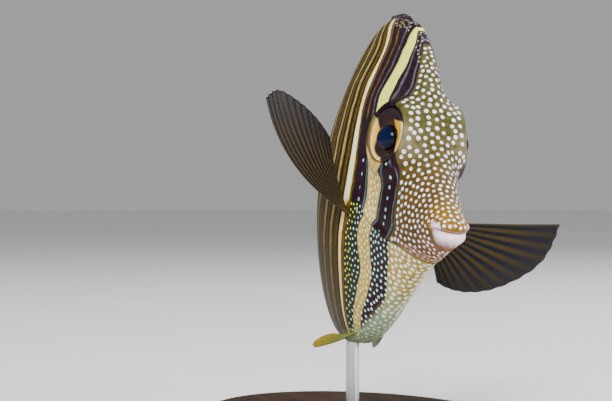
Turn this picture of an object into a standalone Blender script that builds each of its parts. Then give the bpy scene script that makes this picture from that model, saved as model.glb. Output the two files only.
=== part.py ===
# A half-grown sailfin tang with its fins folded low, turning to its left, on a plain display stand.
# Metres, +Z up. The fish faces -Y. The origin is the middle of the underside of the stand's base.
from math import pi, radians

import bmesh
import bpy
import numpy as np
from mathutils import Matrix, Vector

# Driving sizes: the fish from its snout to the root of its tail fin, and the clearance of touching pieces
LENGTH = 0.125
GAP = 0.0003

# Pose: the snout above the floor, the head's dip, the roll to the left, and the turn of the spine
SNOUT_TIP = (0.0, -0.056, 0.050)
DIP = radians(2.8)
ROLL = radians(5.0)
TURN = radians(36)
TURN_START, TURN_END = 0.25, 0.77
CREST_LEAN, LEAN_FROM, LEAN_TO = 0.0150, 0.05, 0.37

# From here to the fins, places and sizes are shares of LENGTH. A station is the distance behind the snout.
CREST = ((0.0, 0.020), (0.015, 0.029), (0.03, 0.041), (0.07, 0.078), (0.11, 0.130), (0.15, 0.198),
         (0.19, 0.262), (0.23, 0.309), (0.28, 0.341), (0.34, 0.355), (0.42, 0.359), (0.50, 0.351),
         (0.60, 0.322), (0.70, 0.269), (0.80, 0.192), (0.88, 0.118), (0.94, 0.074), (1.0, 0.066))
KEEL = ((0.0, -0.020), (0.015, -0.026), (0.03, -0.033), (0.07, -0.050), (0.11, -0.066), (0.16, -0.097),
        (0.22, -0.142), (0.28, -0.186), (0.34, -0.213), (0.41, -0.224), (0.48, -0.226), (0.58, -0.210),
        (0.70, -0.164), (0.80, -0.104), (0.88, -0.054), (0.94, -0.034), (1.0, -0.030))
FLANK = ((0.0, 0.0), (0.05, 0.002), (0.12, 0.012), (0.20, 0.030), (0.70, 0.030), (0.90, 0.022), (1.0, 0.018))
HALF_WIDTH = ((0.0, 0.026), (0.03, 0.033), (0.07, 0.042), (0.11, 0.052), (0.16, 0.057), (0.22, 0.060),
              (0.28, 0.065), (0.34, 0.074), (0.40, 0.082), (0.47, 0.087), (0.56, 0.084), (0.66, 0.067),
              (0.76, 0.045), (0.85, 0.029), (0.93, 0.020), (1.0, 0.013))
NOSE_ROUND = 0.018
RIDGE_HALF = 0.0055
SECTION_POWER = 1.7
BACK_SHARPNESS = ((0.0, 0.50), (0.08, 0.52), (0.20, 0.68), (0.40, 0.66), (1.0, 0.66))
BELLY_SHARPNESS = ((0.0, 0.66), (0.03, 0.92), (0.08, 0.95), (0.12, 0.82), (0.17, 0.66), (0.28, 0.50),
                   (0.40, 0.50), (0.60, 0.56), (1.0, 0.66))

# Gill opening: its station at each level, where a level runs from -1 at the keel to 1 at the crest
GILL_OPENING = ((-1.0, 0.080), (-0.725, 0.105), (-0.48, 0.131), (-0.36, 0.166), (-0.25, 0.205),
                (-0.16, 0.238), (-0.05, 0.262), (0.10, 0.270), (0.30, 0.264), (0.65, 0.262), (1.0, 0.268))
COVER_LIFT, COVER_REACH, COVER_TOP = 0.0035, 0.045, 0.36

# Mouth: how far it reaches across and back, the lift of its corners, the cut between the lips, the lips
MOUTH_HALF, MOUTH_BACK, MOUTH_RISE = 0.025, 0.029, 0.0036
MOUTH_CUT, MOUTH_CUT_HALF = 0.0055, 0.0034
LIP_LIFT, LIP_FROM_CUT, LIP_HALF = 0.0045, 0.0100, 0.0075
MOUTH_CORE = 0.034

# Lower jaw: how much narrower it is, in how short a drop below the mouth, and how far back that lasts
JAW_NARROW, JAW_DROP, JAW_REACH = 0.22, 0.006, 0.09

# Eye: station, distance from the middle plane, height, radius of the disc and half of its thickness
EYE_STATION, EYE_ACROSS, EYE_HEIGHT = 0.184, 0.0640, 0.147
EYE_RADIUS, EYE_HALF_DEPTH = 0.0480, 0.0180
EYE_FORWARD, EYE_UP = radians(13), radians(7)
ORBIT_LIFT, ORBIT_REACH, ORBIT_FADE = 0.030, 0.066, 0.03
NOSTRILS = ((0.1220, 0.1350, 0.0042), (0.1290, 0.1310, 0.0030))

# Stations where the body's nodes end
TORSO_END, BODY_END = 0.80, 1.0
HEAD_ROWS, TORSO_ROWS, PEDUNCLE_ROWS = 24, 17, 5
HEAD_CROWDING = 1.8
LEVEL_COUNT = 21

# Fins: the membrane's thickness at its root and margin, and how far a ray stands up from it, in metres
ROOT_THICK, WEB_THICK, TIP_THICK = 0.0011, 0.00055, 0.00050
RAY_RIDGE = 0.00035
RAY_NOTCH = 0.008

# Folded fins of the back and belly: root stations, each with its ray's length and sweep from upright, degrees
DORSAL_RAYS = ((0.305, 0.040, 72), (0.325, 0.056, 74), (0.355, 0.060, 78), (0.39, 0.066, 80),
               (0.46, 0.100, 79), (0.55, 0.160, 78), (0.65, 0.235, 75), (0.75, 0.265, 69),
               (0.85, 0.235, 62), (0.895, 0.170, 57))
ANAL_RAYS = ((0.510, 0.040, 72), (0.56, 0.100, 74), (0.65, 0.185, 74), (0.75, 0.225, 69), (0.85, 0.210, 60),
             (0.895, 0.160, 54))
DORSAL_COUNT, ANAL_COUNT = 24, 18
DORSAL_LEAN, ANAL_LEAN = 0.35, 0.0
RAY_BOW = 0.06
FOLDED_ROWS, CAUDAL_ROWS = 8, 9

CAUDAL_COUNT, CAUDAL_FAN = 16, radians(21)
CAUDAL_OUTER, CAUDAL_MIDDLE = 0.235, 0.195

# Paired fins: count of rays, the longest ray, and the root from its front to its rear as station and level
PECTORAL_COUNT, PECTORAL_RAY = 13, 0.284
PECTORAL_ROOT = ((0.304, -0.160), (0.326, -0.130))
PECTORAL_SHAPE = ((0.0, 1.0), (0.1, 0.99), (0.25, 0.96), (0.50, 0.80), (0.75, 0.63), (1.0, 0.47))
PELVIC_COUNT, PELVIC_RAY = 6, 0.175
PELVIC_ROOT = ((0.306, -0.955), (0.342, -0.965))
PELVIC_SHAPE = ((0.0, 1.0), (0.25, 0.98), (0.6, 0.75), (1.0, 0.45))

# Headings of the paired fins: the leading ray at its root and tip, then the trailing ray at its root and tip
RAISED = (((-0.83, 0.27, 0.49), (-0.11, 0.26, 0.96)), ((-0.36, 0.00, 0.93), (-0.03, 0.21, 0.98)))
SPREAD = (((0.98, 0.18, -0.04), (1.00, -0.01, 0.00)), ((0.45, 0.20, -0.87), (0.31, 0.39, -0.87)))
TRAILED = (((0.22, 0.89, -0.38), (0.20, 0.96, -0.16)), ((0.24, 0.95, -0.14), (0.24, 0.97, 0.04)))

# Tail spine, folded against the side of the tail's root
SPINE_FRONT, SPINE_BACK, SPINE_LEVEL = 0.915, 0.972, 0.02
SPINE_HALF_HEIGHT, SPINE_HALF_THICK = 0.0062, 0.0036
SPINE_POINT = 0.3

# Stand, in metres
BASE_HALF_LENGTH, BASE_HALF_WIDTH, BASE_THICK, BASE_ROUND = 0.050, 0.034, 0.008, 0.0015
ROD_RADIUS, ROD_STATION = 0.0015, 0.462

PARTS = bpy.data.collections.new("sailfin_tang")
CUTTERS = bpy.data.collections.new("cutters")


def curve_through(points):
    """A smooth curve through points, as a function of their first number."""
    at, value = np.array(points, float).T
    slope = np.gradient(value, at)

    def curve(x):
        x = np.clip(x, at[0], at[-1])
        i = np.clip(np.searchsorted(at, x) - 1, 0, len(at) - 2)
        span = at[i + 1] - at[i]
        t = (x - at[i]) / span
        start = value[i] * (1 + 2 * t) * (1 - t) ** 2 + slope[i] * span * t * (1 - t) ** 2
        end = value[i + 1] * t * t * (3 - 2 * t) - slope[i + 1] * span * t * t * (1 - t)
        return start + end

    return curve


crest, keel, flank, half_width = map(curve_through, (CREST, KEEL, FLANK, HALF_WIDTH))
back_sharpness, belly_sharpness = curve_through(BACK_SHARPNESS), curve_through(BELLY_SHARPNESS)
gill_opening = curve_through(GILL_OPENING)


def smooth(x):
    """0 below 0, 1 above 1, and an even rise between."""
    t = np.clip(x, 0, 1)
    return t * t * (3 - 2 * t)


def spine_line():
    """Stations along the spine, with the heading and the place of each in the middle plane."""
    station = np.linspace(0, 1.6, 400)
    heading = TURN * smooth((station - TURN_START) / (TURN_END - TURN_START))
    step = station[1]
    across = np.concatenate([[0], np.cumsum((np.sin(heading[1:]) + np.sin(heading[:-1])) / 2 * step)])
    along = np.concatenate([[0], np.cumsum((np.cos(heading[1:]) + np.cos(heading[:-1])) / 2 * step)])
    return station, heading, across, along


SPINE = spine_line()
POSE = np.array(Matrix.Rotation(DIP, 3, "X") @ Matrix.Rotation(ROLL, 3, "Y"))


def place(station, across, height):
    """Points of the straight fish, in shares of its length, to points of the turning fish in metres."""
    station, across, height = np.broadcast_arrays(station, across, height)
    heading, spine_x, spine_y = (np.interp(station, SPINE[0], values) for values in SPINE[1:])
    across = across + CREST_LEAN * np.clip((height - LEAN_FROM) / (LEAN_TO - LEAN_FROM), 0, 1)
    x = spine_x + across * np.cos(heading)
    y = spine_y + np.minimum(station, 0) - across * np.sin(heading)
    return np.stack([x, y, height], -1) * LENGTH @ POSE.T + SNOUT_TIP


def mouth_line(across):
    """Height of the line between the lips, which rises towards both corners."""
    return MOUTH_RISE * (across / MOUTH_HALF) ** 2


def lips(station, across, height):
    """How far the lips stand out, or the cut between them goes in."""
    off = np.abs(height - mouth_line(across))
    fade = smooth(1.25 * (1 - station / MOUTH_BACK))
    lip = LIP_LIFT * np.exp(-(((off - LIP_FROM_CUT) / LIP_HALF) ** 2))
    return fade * (lip - MOUTH_CUT * np.exp(-((off / MOUTH_CUT_HALF) ** 2)))


def body_point(station, level, side, cover=0.0, swell=0.0):
    """A point of the straight body's surface. cover raises the gill cover's edge, swell grows the body."""
    nose = np.sqrt(np.clip(1 - (1 - np.clip(station / NOSE_ROUND, 0, 1)) ** 2, 0, 1))
    middle = flank(station)
    top = middle + nose * (crest(station) - middle)
    low = middle + nose * (keel(station) - middle)
    wide = nose * half_width(station)
    sharp = np.where(level > 0, back_sharpness(station), belly_sharpness(station))
    rise = np.abs(level)
    height = middle + np.where(level > 0, (top - middle) * rise, (low - middle) * rise)
    ridge = np.minimum(RIDGE_HALF, 0.3 * wide)
    across = ridge + (wide - ridge) * (1 - rise**SECTION_POWER) ** sharp
    jaw = smooth((mouth_line(across) - height) / JAW_DROP) * (1 - smooth(station / JAW_REACH))
    across = across * (1 - JAW_NARROW * jaw)
    near_eye = ((station - EYE_STATION) / ORBIT_REACH) ** 2 + ((height - EYE_HEIGHT) / ORBIT_REACH) ** 2
    across = across + ORBIT_LIFT * np.exp(-(near_eye**2)) * np.clip(across / ORBIT_FADE, 0, 1)
    out = lips(station, across, height)
    core = np.sqrt((station - MOUTH_CORE) ** 2 + across**2 + height**2)
    station = station + out * (station - MOUTH_CORE) / core
    across = (across + swell) * (1 + out / core) + cover * np.sqrt(1 - rise**2)
    height = height + (out / core) * height + swell * level
    return station, side * across, height


def surface(station, level, side, **more):
    return place(*body_point(np.asarray(station, float), np.asarray(level, float), side, **more))


def level_list():
    """Levels from the keel to the crest, closest together at the line of the mouth."""
    t = np.linspace(-1, 1, LEVEL_COUNT)
    return np.sin(pi / 2 * t * (0.45 + 0.55 * np.abs(t)))


LEVELS = level_list()
RING_LEVEL = np.concatenate([LEVELS, LEVELS[::-1]])
RING_SIDE = np.repeat([1.0, -1.0], LEVEL_COUNT)


def material(name, color, roughness, metallic=0.0):
    made = bpy.data.materials.new(name)
    made.use_nodes = True
    shader = made.node_tree.nodes["Principled BSDF"]
    shader.inputs["Base Color"].default_value = (*color, 1)
    shader.inputs["Roughness"].default_value = roughness
    shader.inputs["Metallic"].default_value = metallic
    return made


SKIN = material("skin", (0.34, 0.27, 0.17), 0.35)
FIN = material("fin", (0.20, 0.15, 0.10), 0.40)
EYE = material("eye", (0.05, 0.06, 0.16), 0.08)
BLADE = material("tail_spine", (0.75, 0.72, 0.66), 0.35)
WOOD = material("stand_wood", (0.12, 0.07, 0.04), 0.45)
STEEL = material("stand_steel", (0.62, 0.62, 0.63), 0.30, 1.0)


def add_object(name, mesh, look, collection=PARTS):
    thing = bpy.data.objects.new(name, mesh)
    collection.objects.link(thing)
    if look:
        mesh.materials.append(look)
    mesh.shade_smooth()
    mesh.set_sharp_from_angle(angle=radians(40))
    return thing


def solid(name, points, faces, look, collection=PARTS):
    """A closed mesh with its origin at its first point."""
    points = np.asarray(points, float).reshape(-1, 3)
    mesh = bpy.data.meshes.new(name)
    mesh.from_pydata((points - points[0]).tolist(), [], faces)
    work = bmesh.new()
    work.from_mesh(mesh)
    bmesh.ops.recalc_face_normals(work, faces=work.faces)
    work.to_mesh(mesh)
    work.free()
    thing = add_object(name, mesh, look, collection)
    thing.location = points[0]
    return thing


def loft(name, rows, look=SKIN, collection=PARTS):
    """A skin through closed rings, each end closed by strips that run straight across from side to side."""
    count = rows.shape[1]
    faces = []
    for i in range(len(rows) - 1):
        for j in range(count):
            k = (j + 1) % count
            faces.append((i * count + j, i * count + k, (i + 1) * count + k, (i + 1) * count + j))
    for first in (0, (len(rows) - 1) * count):
        for j in range(count // 2 - 1):
            faces.append((first + j, first + j + 1, first + count - 2 - j, first + count - 1 - j))
    return solid(name, rows, faces, look, collection)


def cut(thing, collection):
    """Cut every mesh of a collection out of a thing."""
    tool = thing.modifiers.new("cuts", "BOOLEAN")
    tool.operand_type = "COLLECTION"
    tool.collection = collection
    tool.operation = "DIFFERENCE"
    tool.solver = "EXACT"


def new_cutters(name):
    made = bpy.data.collections.new(name)
    CUTTERS.children.link(made)
    return made


def as_cutter(thing):
    thing.hide_render = True
    thing.display_type = "WIRE"


def eye_frame(side):
    """Where an eye sits, with its own X axis looking out, forward and a little up."""
    spot = place(EYE_STATION, side * EYE_ACROSS, EYE_HEIGHT)
    aim = Matrix.Rotation(EYE_FORWARD if side < 0 else -EYE_FORWARD, 4, "Z")
    aim = aim @ Matrix.Rotation(-EYE_UP * side, 4, "Y")
    return Matrix.Translation(Vector(spot)) @ Matrix(POSE.tolist()).to_4x4() @ aim


def ball(name, radii, where, look, collection=PARTS, around=20, up=12):
    """A sphere stretched to three radii, its poles on its own X axis."""
    mesh = bpy.data.meshes.new(name)
    work = bmesh.new()
    stretch = Matrix.Diagonal((*radii, 1)) @ Matrix.Rotation(pi / 2, 4, "Y")
    bmesh.ops.create_uvsphere(work, u_segments=around, v_segments=up, radius=1.0, matrix=stretch)
    work.to_mesh(mesh)
    work.free()
    thing = add_object(name, mesh, look, collection)
    thing.matrix_world = where
    return thing


def eye_radii(grow=0.0):
    return EYE_HALF_DEPTH * LENGTH + grow, EYE_RADIUS * LENGTH + grow, EYE_RADIUS * LENGTH + grow


def make_eyes():
    for side, name in ((1, "eye_left"), (-1, "eye_right")):
        ball(name, eye_radii(), eye_frame(side), EYE)


def make_head():
    """Snout to gill opening, with the lips, the raised gill cover, two eye sockets and the nostrils."""
    rows = []
    for i in range(1, HEAD_ROWS + 1):
        station = gill_opening(RING_LEVEL) * (i / HEAD_ROWS) ** HEAD_CROWDING
        near = smooth(1 - (gill_opening(RING_LEVEL) - station) / COVER_REACH)
        cover = COVER_LIFT * near * smooth((COVER_TOP - RING_LEVEL) / 0.2)
        rows.append(surface(station, RING_LEVEL, RING_SIDE, cover=cover))
    head = loft("head", np.array(rows))
    holes = new_cutters("head_cutters")
    for side, name in ((1, "left"), (-1, "right")):
        as_cutter(ball("socket_" + name, eye_radii(GAP), eye_frame(side), None, holes))
        for number, (station, height, radius) in enumerate(NOSTRILS):
            level = (height - flank(station)) / (crest(station) - flank(station))
            spot = Vector(surface(station, level, side))
            sizes = (radius * LENGTH,) * 3
            place_there = Matrix.Translation(spot)
            as_cutter(ball(f"nostril_{name}_{number}", sizes, place_there, None, holes, around=10, up=6))
    cut(head, holes)


def body_rows(start, end, count, swell=0.0):
    """Rings from one station to another, where each may change with the level."""
    rows = []
    for t in np.linspace(0, 1, count + 1):
        rows.append(surface(start + (end - start) * t, RING_LEVEL, RING_SIDE, swell=swell))
    return np.array(rows)


def make_torso():
    gap = GAP / LENGTH
    slanted = gap * (1 + smooth(-RING_LEVEL / 0.2))
    end = TORSO_END * np.ones_like(RING_LEVEL)
    loft("torso", body_rows(gill_opening(RING_LEVEL) + slanted, end, TORSO_ROWS))
    loft("peduncle", body_rows(end + gap, BODY_END, PEDUNCLE_ROWS))


def ray_columns(rays):
    """Columns across a fin, one on each ray and one between: their places from 0 to 1, and which are rays."""
    across = np.linspace(0, 1, 2 * rays - 1)
    return across, (np.arange(2 * rays - 1) % 2 == 0).astype(float)


def fin_thickness(along, on_ray):
    """Thickness over a fin, thinning from the root to the margin, with the rays standing up from the web."""
    web = WEB_THICK + (ROOT_THICK - WEB_THICK) * (1 - smooth(along / 0.12))
    web = web + (TIP_THICK - WEB_THICK) * along
    return web + RAY_RIDGE * on_ray * (1 - 0.6 * along)


def sheet_faces(rows, columns):
    """Triangles of a closed sheet of two like grids, one for each face, both split the same way."""
    size = rows * columns
    faces = []
    for i in range(rows - 1):
        for j in range(columns - 1):
            a, b = i * columns + j, i * columns + j + 1
            c, d = a + columns, b + columns
            faces += [(a, b, d), (a, d, c), (size + a, size + d, size + b), (size + a, size + c, size + d)]
    rim = [j for j in range(columns)]
    rim += [i * columns + columns - 1 for i in range(1, rows)]
    rim += [(rows - 1) * columns + j for j in range(columns - 2, -1, -1)]
    rim += [i * columns for i in range(rows - 2, 0, -1)]
    for a, b in zip(rim, rim[1:] + rim[:1]):
        faces += [(a, size + a, size + b), (a, size + b, b)]
    return faces


def median_fin(name, station, height, lean, thick):
    """A fin in the middle plane, from grids of its stations and heights."""
    half = thick / 2 / LENGTH
    points = np.concatenate([place(station, lean + half, height), place(station, lean - half, height)])
    return solid(name, points, sheet_faces(*station.shape), FIN)


def folded_fin(name, rays, count, edge, up, lean):
    """A fin along the crest or the keel, its rays swept back."""
    table = np.array(rays, float)
    across, on_ray = ray_columns(count)
    root = table[0, 0] + (table[-1, 0] - table[0, 0]) * across
    length = np.interp(root, table[:, 0], table[:, 1]) * (1 - RAY_NOTCH * (1 - on_ray))
    sweep = np.radians(np.interp(root, table[:, 0], table[:, 2]))
    along = np.linspace(0, 1, FOLDED_ROWS)[:, None]
    bow = RAY_BOW * along * (1 - along)
    station = root + length * (along * np.sin(sweep) - bow * np.cos(sweep))
    rise = GAP / LENGTH + length * (along * np.cos(sweep) + bow * np.sin(sweep))
    height = edge(root) + up * rise
    thick = fin_thickness(along, on_ray)
    median_fin(name, station, height, lean * rise * (1 - across) ** 2, thick)


def make_tail_fin():
    across, on_ray = ray_columns(CAUDAL_COUNT)
    spread = 1 - 2 * across
    low, top = keel(BODY_END) * 0.9, crest(BODY_END) * 0.9
    root = low + (top - low) * (1 - across)
    ray = CAUDAL_MIDDLE + (CAUDAL_OUTER - CAUDAL_MIDDLE) * spread**2
    ray = ray * (1 - RAY_NOTCH * (1 - on_ray))
    angle = CAUDAL_FAN * spread
    along = np.linspace(0, 1, CAUDAL_ROWS)[:, None]
    station = BODY_END + GAP / LENGTH + ray * along * np.cos(angle)
    height = root + ray * np.sin(angle) * along**0.9
    median_fin("caudal_fin", station, height, 0.0, fin_thickness(along, on_ray) * np.ones_like(station))


def paired_fin(name, side, root, count, reach, shape, headings, rows=9):
    """A fin on the side of the body. headings are those of the leading ray, then of the trailing one."""
    lead, trail = headings
    across, on_ray = ray_columns(count)
    (s0, l0), (s1, l1) = root
    station, level = s0 + (s1 - s0) * across, l0 + (l1 - l0) * across
    foot = surface(station, level, side)
    ahead = surface(station + 0.004, level, side) - foot
    above = surface(station, level + 0.004, side) - foot
    out = side * np.cross(ahead, above)
    out /= np.linalg.norm(out, axis=1)[:, None]
    foot = foot + GAP * out
    start, finish = (np.array([lead[i]]) + (np.array([trail[i]]) - lead[i]) * across[:, None] for i in (0, 1))
    start /= np.linalg.norm(start, axis=1)[:, None]
    finish /= np.linalg.norm(finish, axis=1)[:, None]
    ray = reach * LENGTH * curve_through(shape)(across) * (1 - RAY_NOTCH * (1 - on_ray))
    along = np.linspace(0, 1, rows)
    middle = np.empty((rows, len(across), 3))
    for i, t in enumerate(along):
        middle[i] = foot + ray[:, None] * (start * (t - t * t / 2) + finish * t * t / 2)
    face = np.cross(np.gradient(middle, axis=0), np.gradient(middle, axis=1))
    face[0] -= out * np.sum(face[0] * out, axis=1)[:, None]
    face /= np.linalg.norm(face, axis=2)[:, :, None]
    thick = fin_thickness(along[:, None], on_ray)[:, :, None]
    points = np.concatenate([middle + face * thick / 2, middle - face * thick / 2])
    return solid(name, points, sheet_faces(rows, len(across)), FIN)


def make_fins():
    folded_fin("dorsal_fin", DORSAL_RAYS, DORSAL_COUNT, crest, 1, DORSAL_LEAN)
    folded_fin("anal_fin", ANAL_RAYS, ANAL_COUNT, keel, -1, ANAL_LEAN)
    make_tail_fin()
    pectoral = PECTORAL_ROOT, PECTORAL_COUNT, PECTORAL_RAY, PECTORAL_SHAPE
    paired_fin("pectoral_fin_right", -1, *pectoral, RAISED)
    paired_fin("pectoral_fin_left", 1, *pectoral, SPREAD)
    pelvic = PELVIC_ROOT, PELVIC_COUNT, PELVIC_RAY, PELVIC_SHAPE
    for side, name in ((1, "pelvic_fin_left"), (-1, "pelvic_fin_right")):
        paired_fin(name, side, *pelvic, np.array(TRAILED) * (side, 1, 1), rows=7)


def make_tail_spines():
    """A small flat blade on each side of the tail's root, its point forward."""
    for side, name in ((1, "tail_spine_left"), (-1, "tail_spine_right")):
        front, back = (Vector(surface(s, SPINE_LEVEL, side)) for s in (SPINE_FRONT, SPINE_BACK))
        above = Vector(surface(SPINE_BACK, SPINE_LEVEL + 0.2, side)) - back
        axis = (front - back).normalized()
        out = side * above.cross(axis).normalized()
        up = axis.cross(out)
        half = SPINE_HALF_THICK * LENGTH
        frame = Matrix((out, up, axis)).transposed().to_4x4()
        middle = (front + back) / 2 + out * (half + 2 * GAP)
        mesh = bpy.data.meshes.new(name)
        work = bmesh.new()
        shape = Matrix.Diagonal((half, SPINE_HALF_HEIGHT * LENGTH, 1, 1))
        length = (front - back).length
        size = {"radius1": 1.0, "radius2": SPINE_POINT, "depth": length}
        bmesh.ops.create_cone(work, cap_ends=True, segments=8, matrix=shape, **size)
        work.to_mesh(mesh)
        work.free()
        add_object(name, mesh, BLADE).matrix_world = Matrix.Translation(middle) @ frame


def make_stand():
    """An oval base, and a rod whose top is cut to the shape of the belly that it carries."""
    middle = (0, 0, BASE_THICK / 2)
    bpy.ops.mesh.primitive_cylinder_add(vertices=56, radius=1, depth=BASE_THICK, location=middle)
    base = bpy.context.object
    base.name = "stand_base"
    base.scale = (BASE_HALF_WIDTH, BASE_HALF_LENGTH, 1)
    bpy.ops.object.transform_apply(location=False, rotation=False, scale=True)
    edge = base.modifiers.new("rounded_edges", "BEVEL")
    edge.width = BASE_ROUND
    edge.segments = 2
    edge.limit_method = "ANGLE"
    belly = place(ROD_STATION, 0.0, keel(ROD_STATION))
    low, high = BASE_THICK + GAP, belly[2] + 2 * ROD_RADIUS
    where = (belly[0], belly[1], (low + high) / 2)
    bpy.ops.mesh.primitive_cylinder_add(vertices=20, radius=ROD_RADIUS, depth=high - low, location=where)
    rod = bpy.context.object
    rod.name = "stand_rod"
    holes = new_cutters("rod_cutters")
    ends = np.array([ROD_STATION - 0.05, ROD_STATION + 0.05])[:, None] * np.ones_like(RING_LEVEL)
    as_cutter(loft("belly", body_rows(*ends, 6, swell=GAP / LENGTH), None, holes))
    cut(rod, holes)
    for thing, look in ((base, WOOD), (rod, STEEL)):
        for old in thing.users_collection:
            old.objects.unlink(thing)
        PARTS.objects.link(thing)
        thing.data.name = thing.name
        thing.data.materials.append(look)
        thing.data.shade_smooth()
        thing.data.set_sharp_from_angle(angle=radians(40))


def group_fish():
    """One empty carries every node of the fish, and another the stand's."""
    for name in ("fish", "stand"):
        PARTS.objects.link(bpy.data.objects.new(name, None))
    for thing in [thing for thing in PARTS.objects if thing.type == "MESH"]:
        thing.parent = PARTS.objects["stand" if thing.name.startswith("stand_") else "fish"]


def main():
    for thing in list(bpy.data.objects):
        bpy.data.objects.remove(thing, do_unlink=True)
    for collection in (PARTS, CUTTERS):
        bpy.context.scene.collection.children.link(collection)
    make_head()
    make_torso()
    make_eyes()
    make_fins()
    make_tail_spines()
    make_stand()
    group_fish()


main()
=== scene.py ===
from math import cos, pi, radians, sin

import bmesh
import bpy
import numpy as np
from mathutils import Matrix, Vector
from mathutils.kdtree import KDTree


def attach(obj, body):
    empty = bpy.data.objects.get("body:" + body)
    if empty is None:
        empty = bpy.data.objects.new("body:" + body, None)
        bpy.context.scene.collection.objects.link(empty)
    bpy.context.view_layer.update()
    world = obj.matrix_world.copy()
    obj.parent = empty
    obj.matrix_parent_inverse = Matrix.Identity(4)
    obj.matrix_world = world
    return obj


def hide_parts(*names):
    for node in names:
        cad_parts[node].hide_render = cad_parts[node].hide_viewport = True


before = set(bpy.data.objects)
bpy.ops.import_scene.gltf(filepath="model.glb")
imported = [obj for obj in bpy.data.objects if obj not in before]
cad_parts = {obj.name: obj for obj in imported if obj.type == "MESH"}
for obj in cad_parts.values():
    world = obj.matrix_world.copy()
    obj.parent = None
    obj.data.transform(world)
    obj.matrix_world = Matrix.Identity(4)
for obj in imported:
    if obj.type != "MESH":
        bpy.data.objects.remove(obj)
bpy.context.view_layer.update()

# Driving sizes in metres: from the snout to the root of the tail fin, and the gap between touching pieces
LENGTH = 0.125
GAP = 0.0003

# Pose: the snout above the floor, the head's dip, the roll to the left, and the turn of the spine
SNOUT_TIP = (0.0, -0.056, 0.050)
DIP = radians(2.8)
ROLL = radians(5.0)
TURN = radians(36)
TURN_START, TURN_END = 0.25, 0.77
CREST_LEAN, LEAN_FROM, LEAN_TO = 0.0150, 0.05, 0.37

# Shares of LENGTH, as all sizes below unless a heading says more. A station is the distance behind the snout.
CREST = ((0.0, 0.020), (0.015, 0.029), (0.03, 0.041), (0.07, 0.078), (0.11, 0.130), (0.15, 0.198),
         (0.19, 0.262), (0.23, 0.309), (0.28, 0.341), (0.34, 0.355), (0.42, 0.359), (0.50, 0.351),
         (0.60, 0.322), (0.70, 0.269), (0.80, 0.192), (0.88, 0.118), (0.94, 0.074), (1.0, 0.066))
KEEL = ((0.0, -0.020), (0.015, -0.026), (0.03, -0.033), (0.07, -0.050), (0.11, -0.066), (0.16, -0.097),
        (0.22, -0.142), (0.28, -0.186), (0.34, -0.213), (0.41, -0.224), (0.48, -0.226), (0.58, -0.210),
        (0.70, -0.164), (0.80, -0.104), (0.88, -0.054), (0.94, -0.034), (1.0, -0.030))
FLANK = ((0.0, 0.0), (0.05, 0.002), (0.12, 0.012), (0.20, 0.030), (0.70, 0.030), (0.90, 0.022), (1.0, 0.018))
HALF_WIDTH = ((0.0, 0.026), (0.03, 0.033), (0.07, 0.042), (0.11, 0.052), (0.16, 0.057), (0.22, 0.060),
              (0.28, 0.065), (0.34, 0.074), (0.40, 0.082), (0.47, 0.087), (0.56, 0.084), (0.66, 0.067),
              (0.76, 0.045), (0.85, 0.029), (0.93, 0.020), (1.0, 0.013))
NOSE_ROUND = 0.018
RIDGE_HALF = 0.0055
SECTION_POWER = 1.7
BACK_SHARPNESS = ((0.0, 0.50), (0.08, 0.52), (0.20, 0.68), (0.40, 0.66), (1.0, 0.66))
BELLY_SHARPNESS = ((0.0, 0.66), (0.03, 0.92), (0.08, 0.95), (0.12, 0.82), (0.17, 0.66), (0.28, 0.50),
                   (0.40, 0.50), (0.60, 0.56), (1.0, 0.66))

# Gill opening: its station at each level, where a level runs from -1 at the keel to 1 at the crest
GILL_OPENING = ((-1.0, 0.080), (-0.725, 0.105), (-0.48, 0.131), (-0.36, 0.166), (-0.25, 0.205),
                (-0.16, 0.238), (-0.05, 0.262), (0.10, 0.270), (0.30, 0.264), (0.65, 0.262), (1.0, 0.268))
COVER_LIFT, COVER_REACH, COVER_TOP = 0.0035, 0.045, 0.36
FOLD_DEPTH, FOLD_PERIOD, FOLD_REACH = 0.0013, 0.0105, 0.044
SLIT_DEPTH, SLIT_WIDTH, SLIT_LOW = 0.0050, 0.0045, -0.93

# Mouth: how far it reaches across and back, the lift of its corners, the cut between the lips, the lips
MOUTH_HALF, MOUTH_BACK, MOUTH_RISE = 0.025, 0.029, 0.0036
MOUTH_CUT, MOUTH_CUT_HALF = 0.0062, 0.0022
LIP_LIFT, LIP_FROM_CUT, LIP_HALF = 0.0045, 0.0100, 0.0075
MOUTH_CORE = 0.034

# Lower jaw: how much narrower it is, in how short a drop below the mouth, and how far back that lasts
JAW_NARROW, JAW_DROP, JAW_REACH = 0.22, 0.006, 0.09

# Eye: station, distance from the middle plane, height, radius, its turns, and the raised brow round it
EYE_STATION, EYE_ACROSS, EYE_HEIGHT, EYE_RADIUS = 0.184, 0.0640, 0.147, 0.0480
EYE_FORWARD, EYE_UP = radians(13), radians(7)
ORBIT_LIFT, ORBIT_REACH, ORBIT_FADE = 0.030, 0.066, 0.03

# Rim of the eye, iris and pupil: heights and depths in metres, spans in radii of the eye, and turns
RIM_HEIGHT, RIM_LIP, RIM_SINK = 0.00040, 0.00022, 0.0022
IRIS_RIM, IRIS_LOW, IRIS_REACH = 0.00035, -0.00015, 0.985
PUPIL_SHARE, PUPIL_LONG, PUPIL_FORWARD, PUPIL_DROP = 0.46, 0.53, 0.10, 0.11
PUPIL_DEPTH, PUPIL_SEAT = 0.00215, -0.00015
IRIS_TURN, HOOD_TURN = radians(25), radians(12)

# Nostrils of one side: station, height and radius of each, and how deep a pit is, in metres
NOSTRILS = ((0.1220, 0.1350, 0.0042), (0.1290, 0.1310, 0.0030))
NOSTRIL_DEPTH, NOSTRIL_RIM = 0.0007, 0.00010

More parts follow.
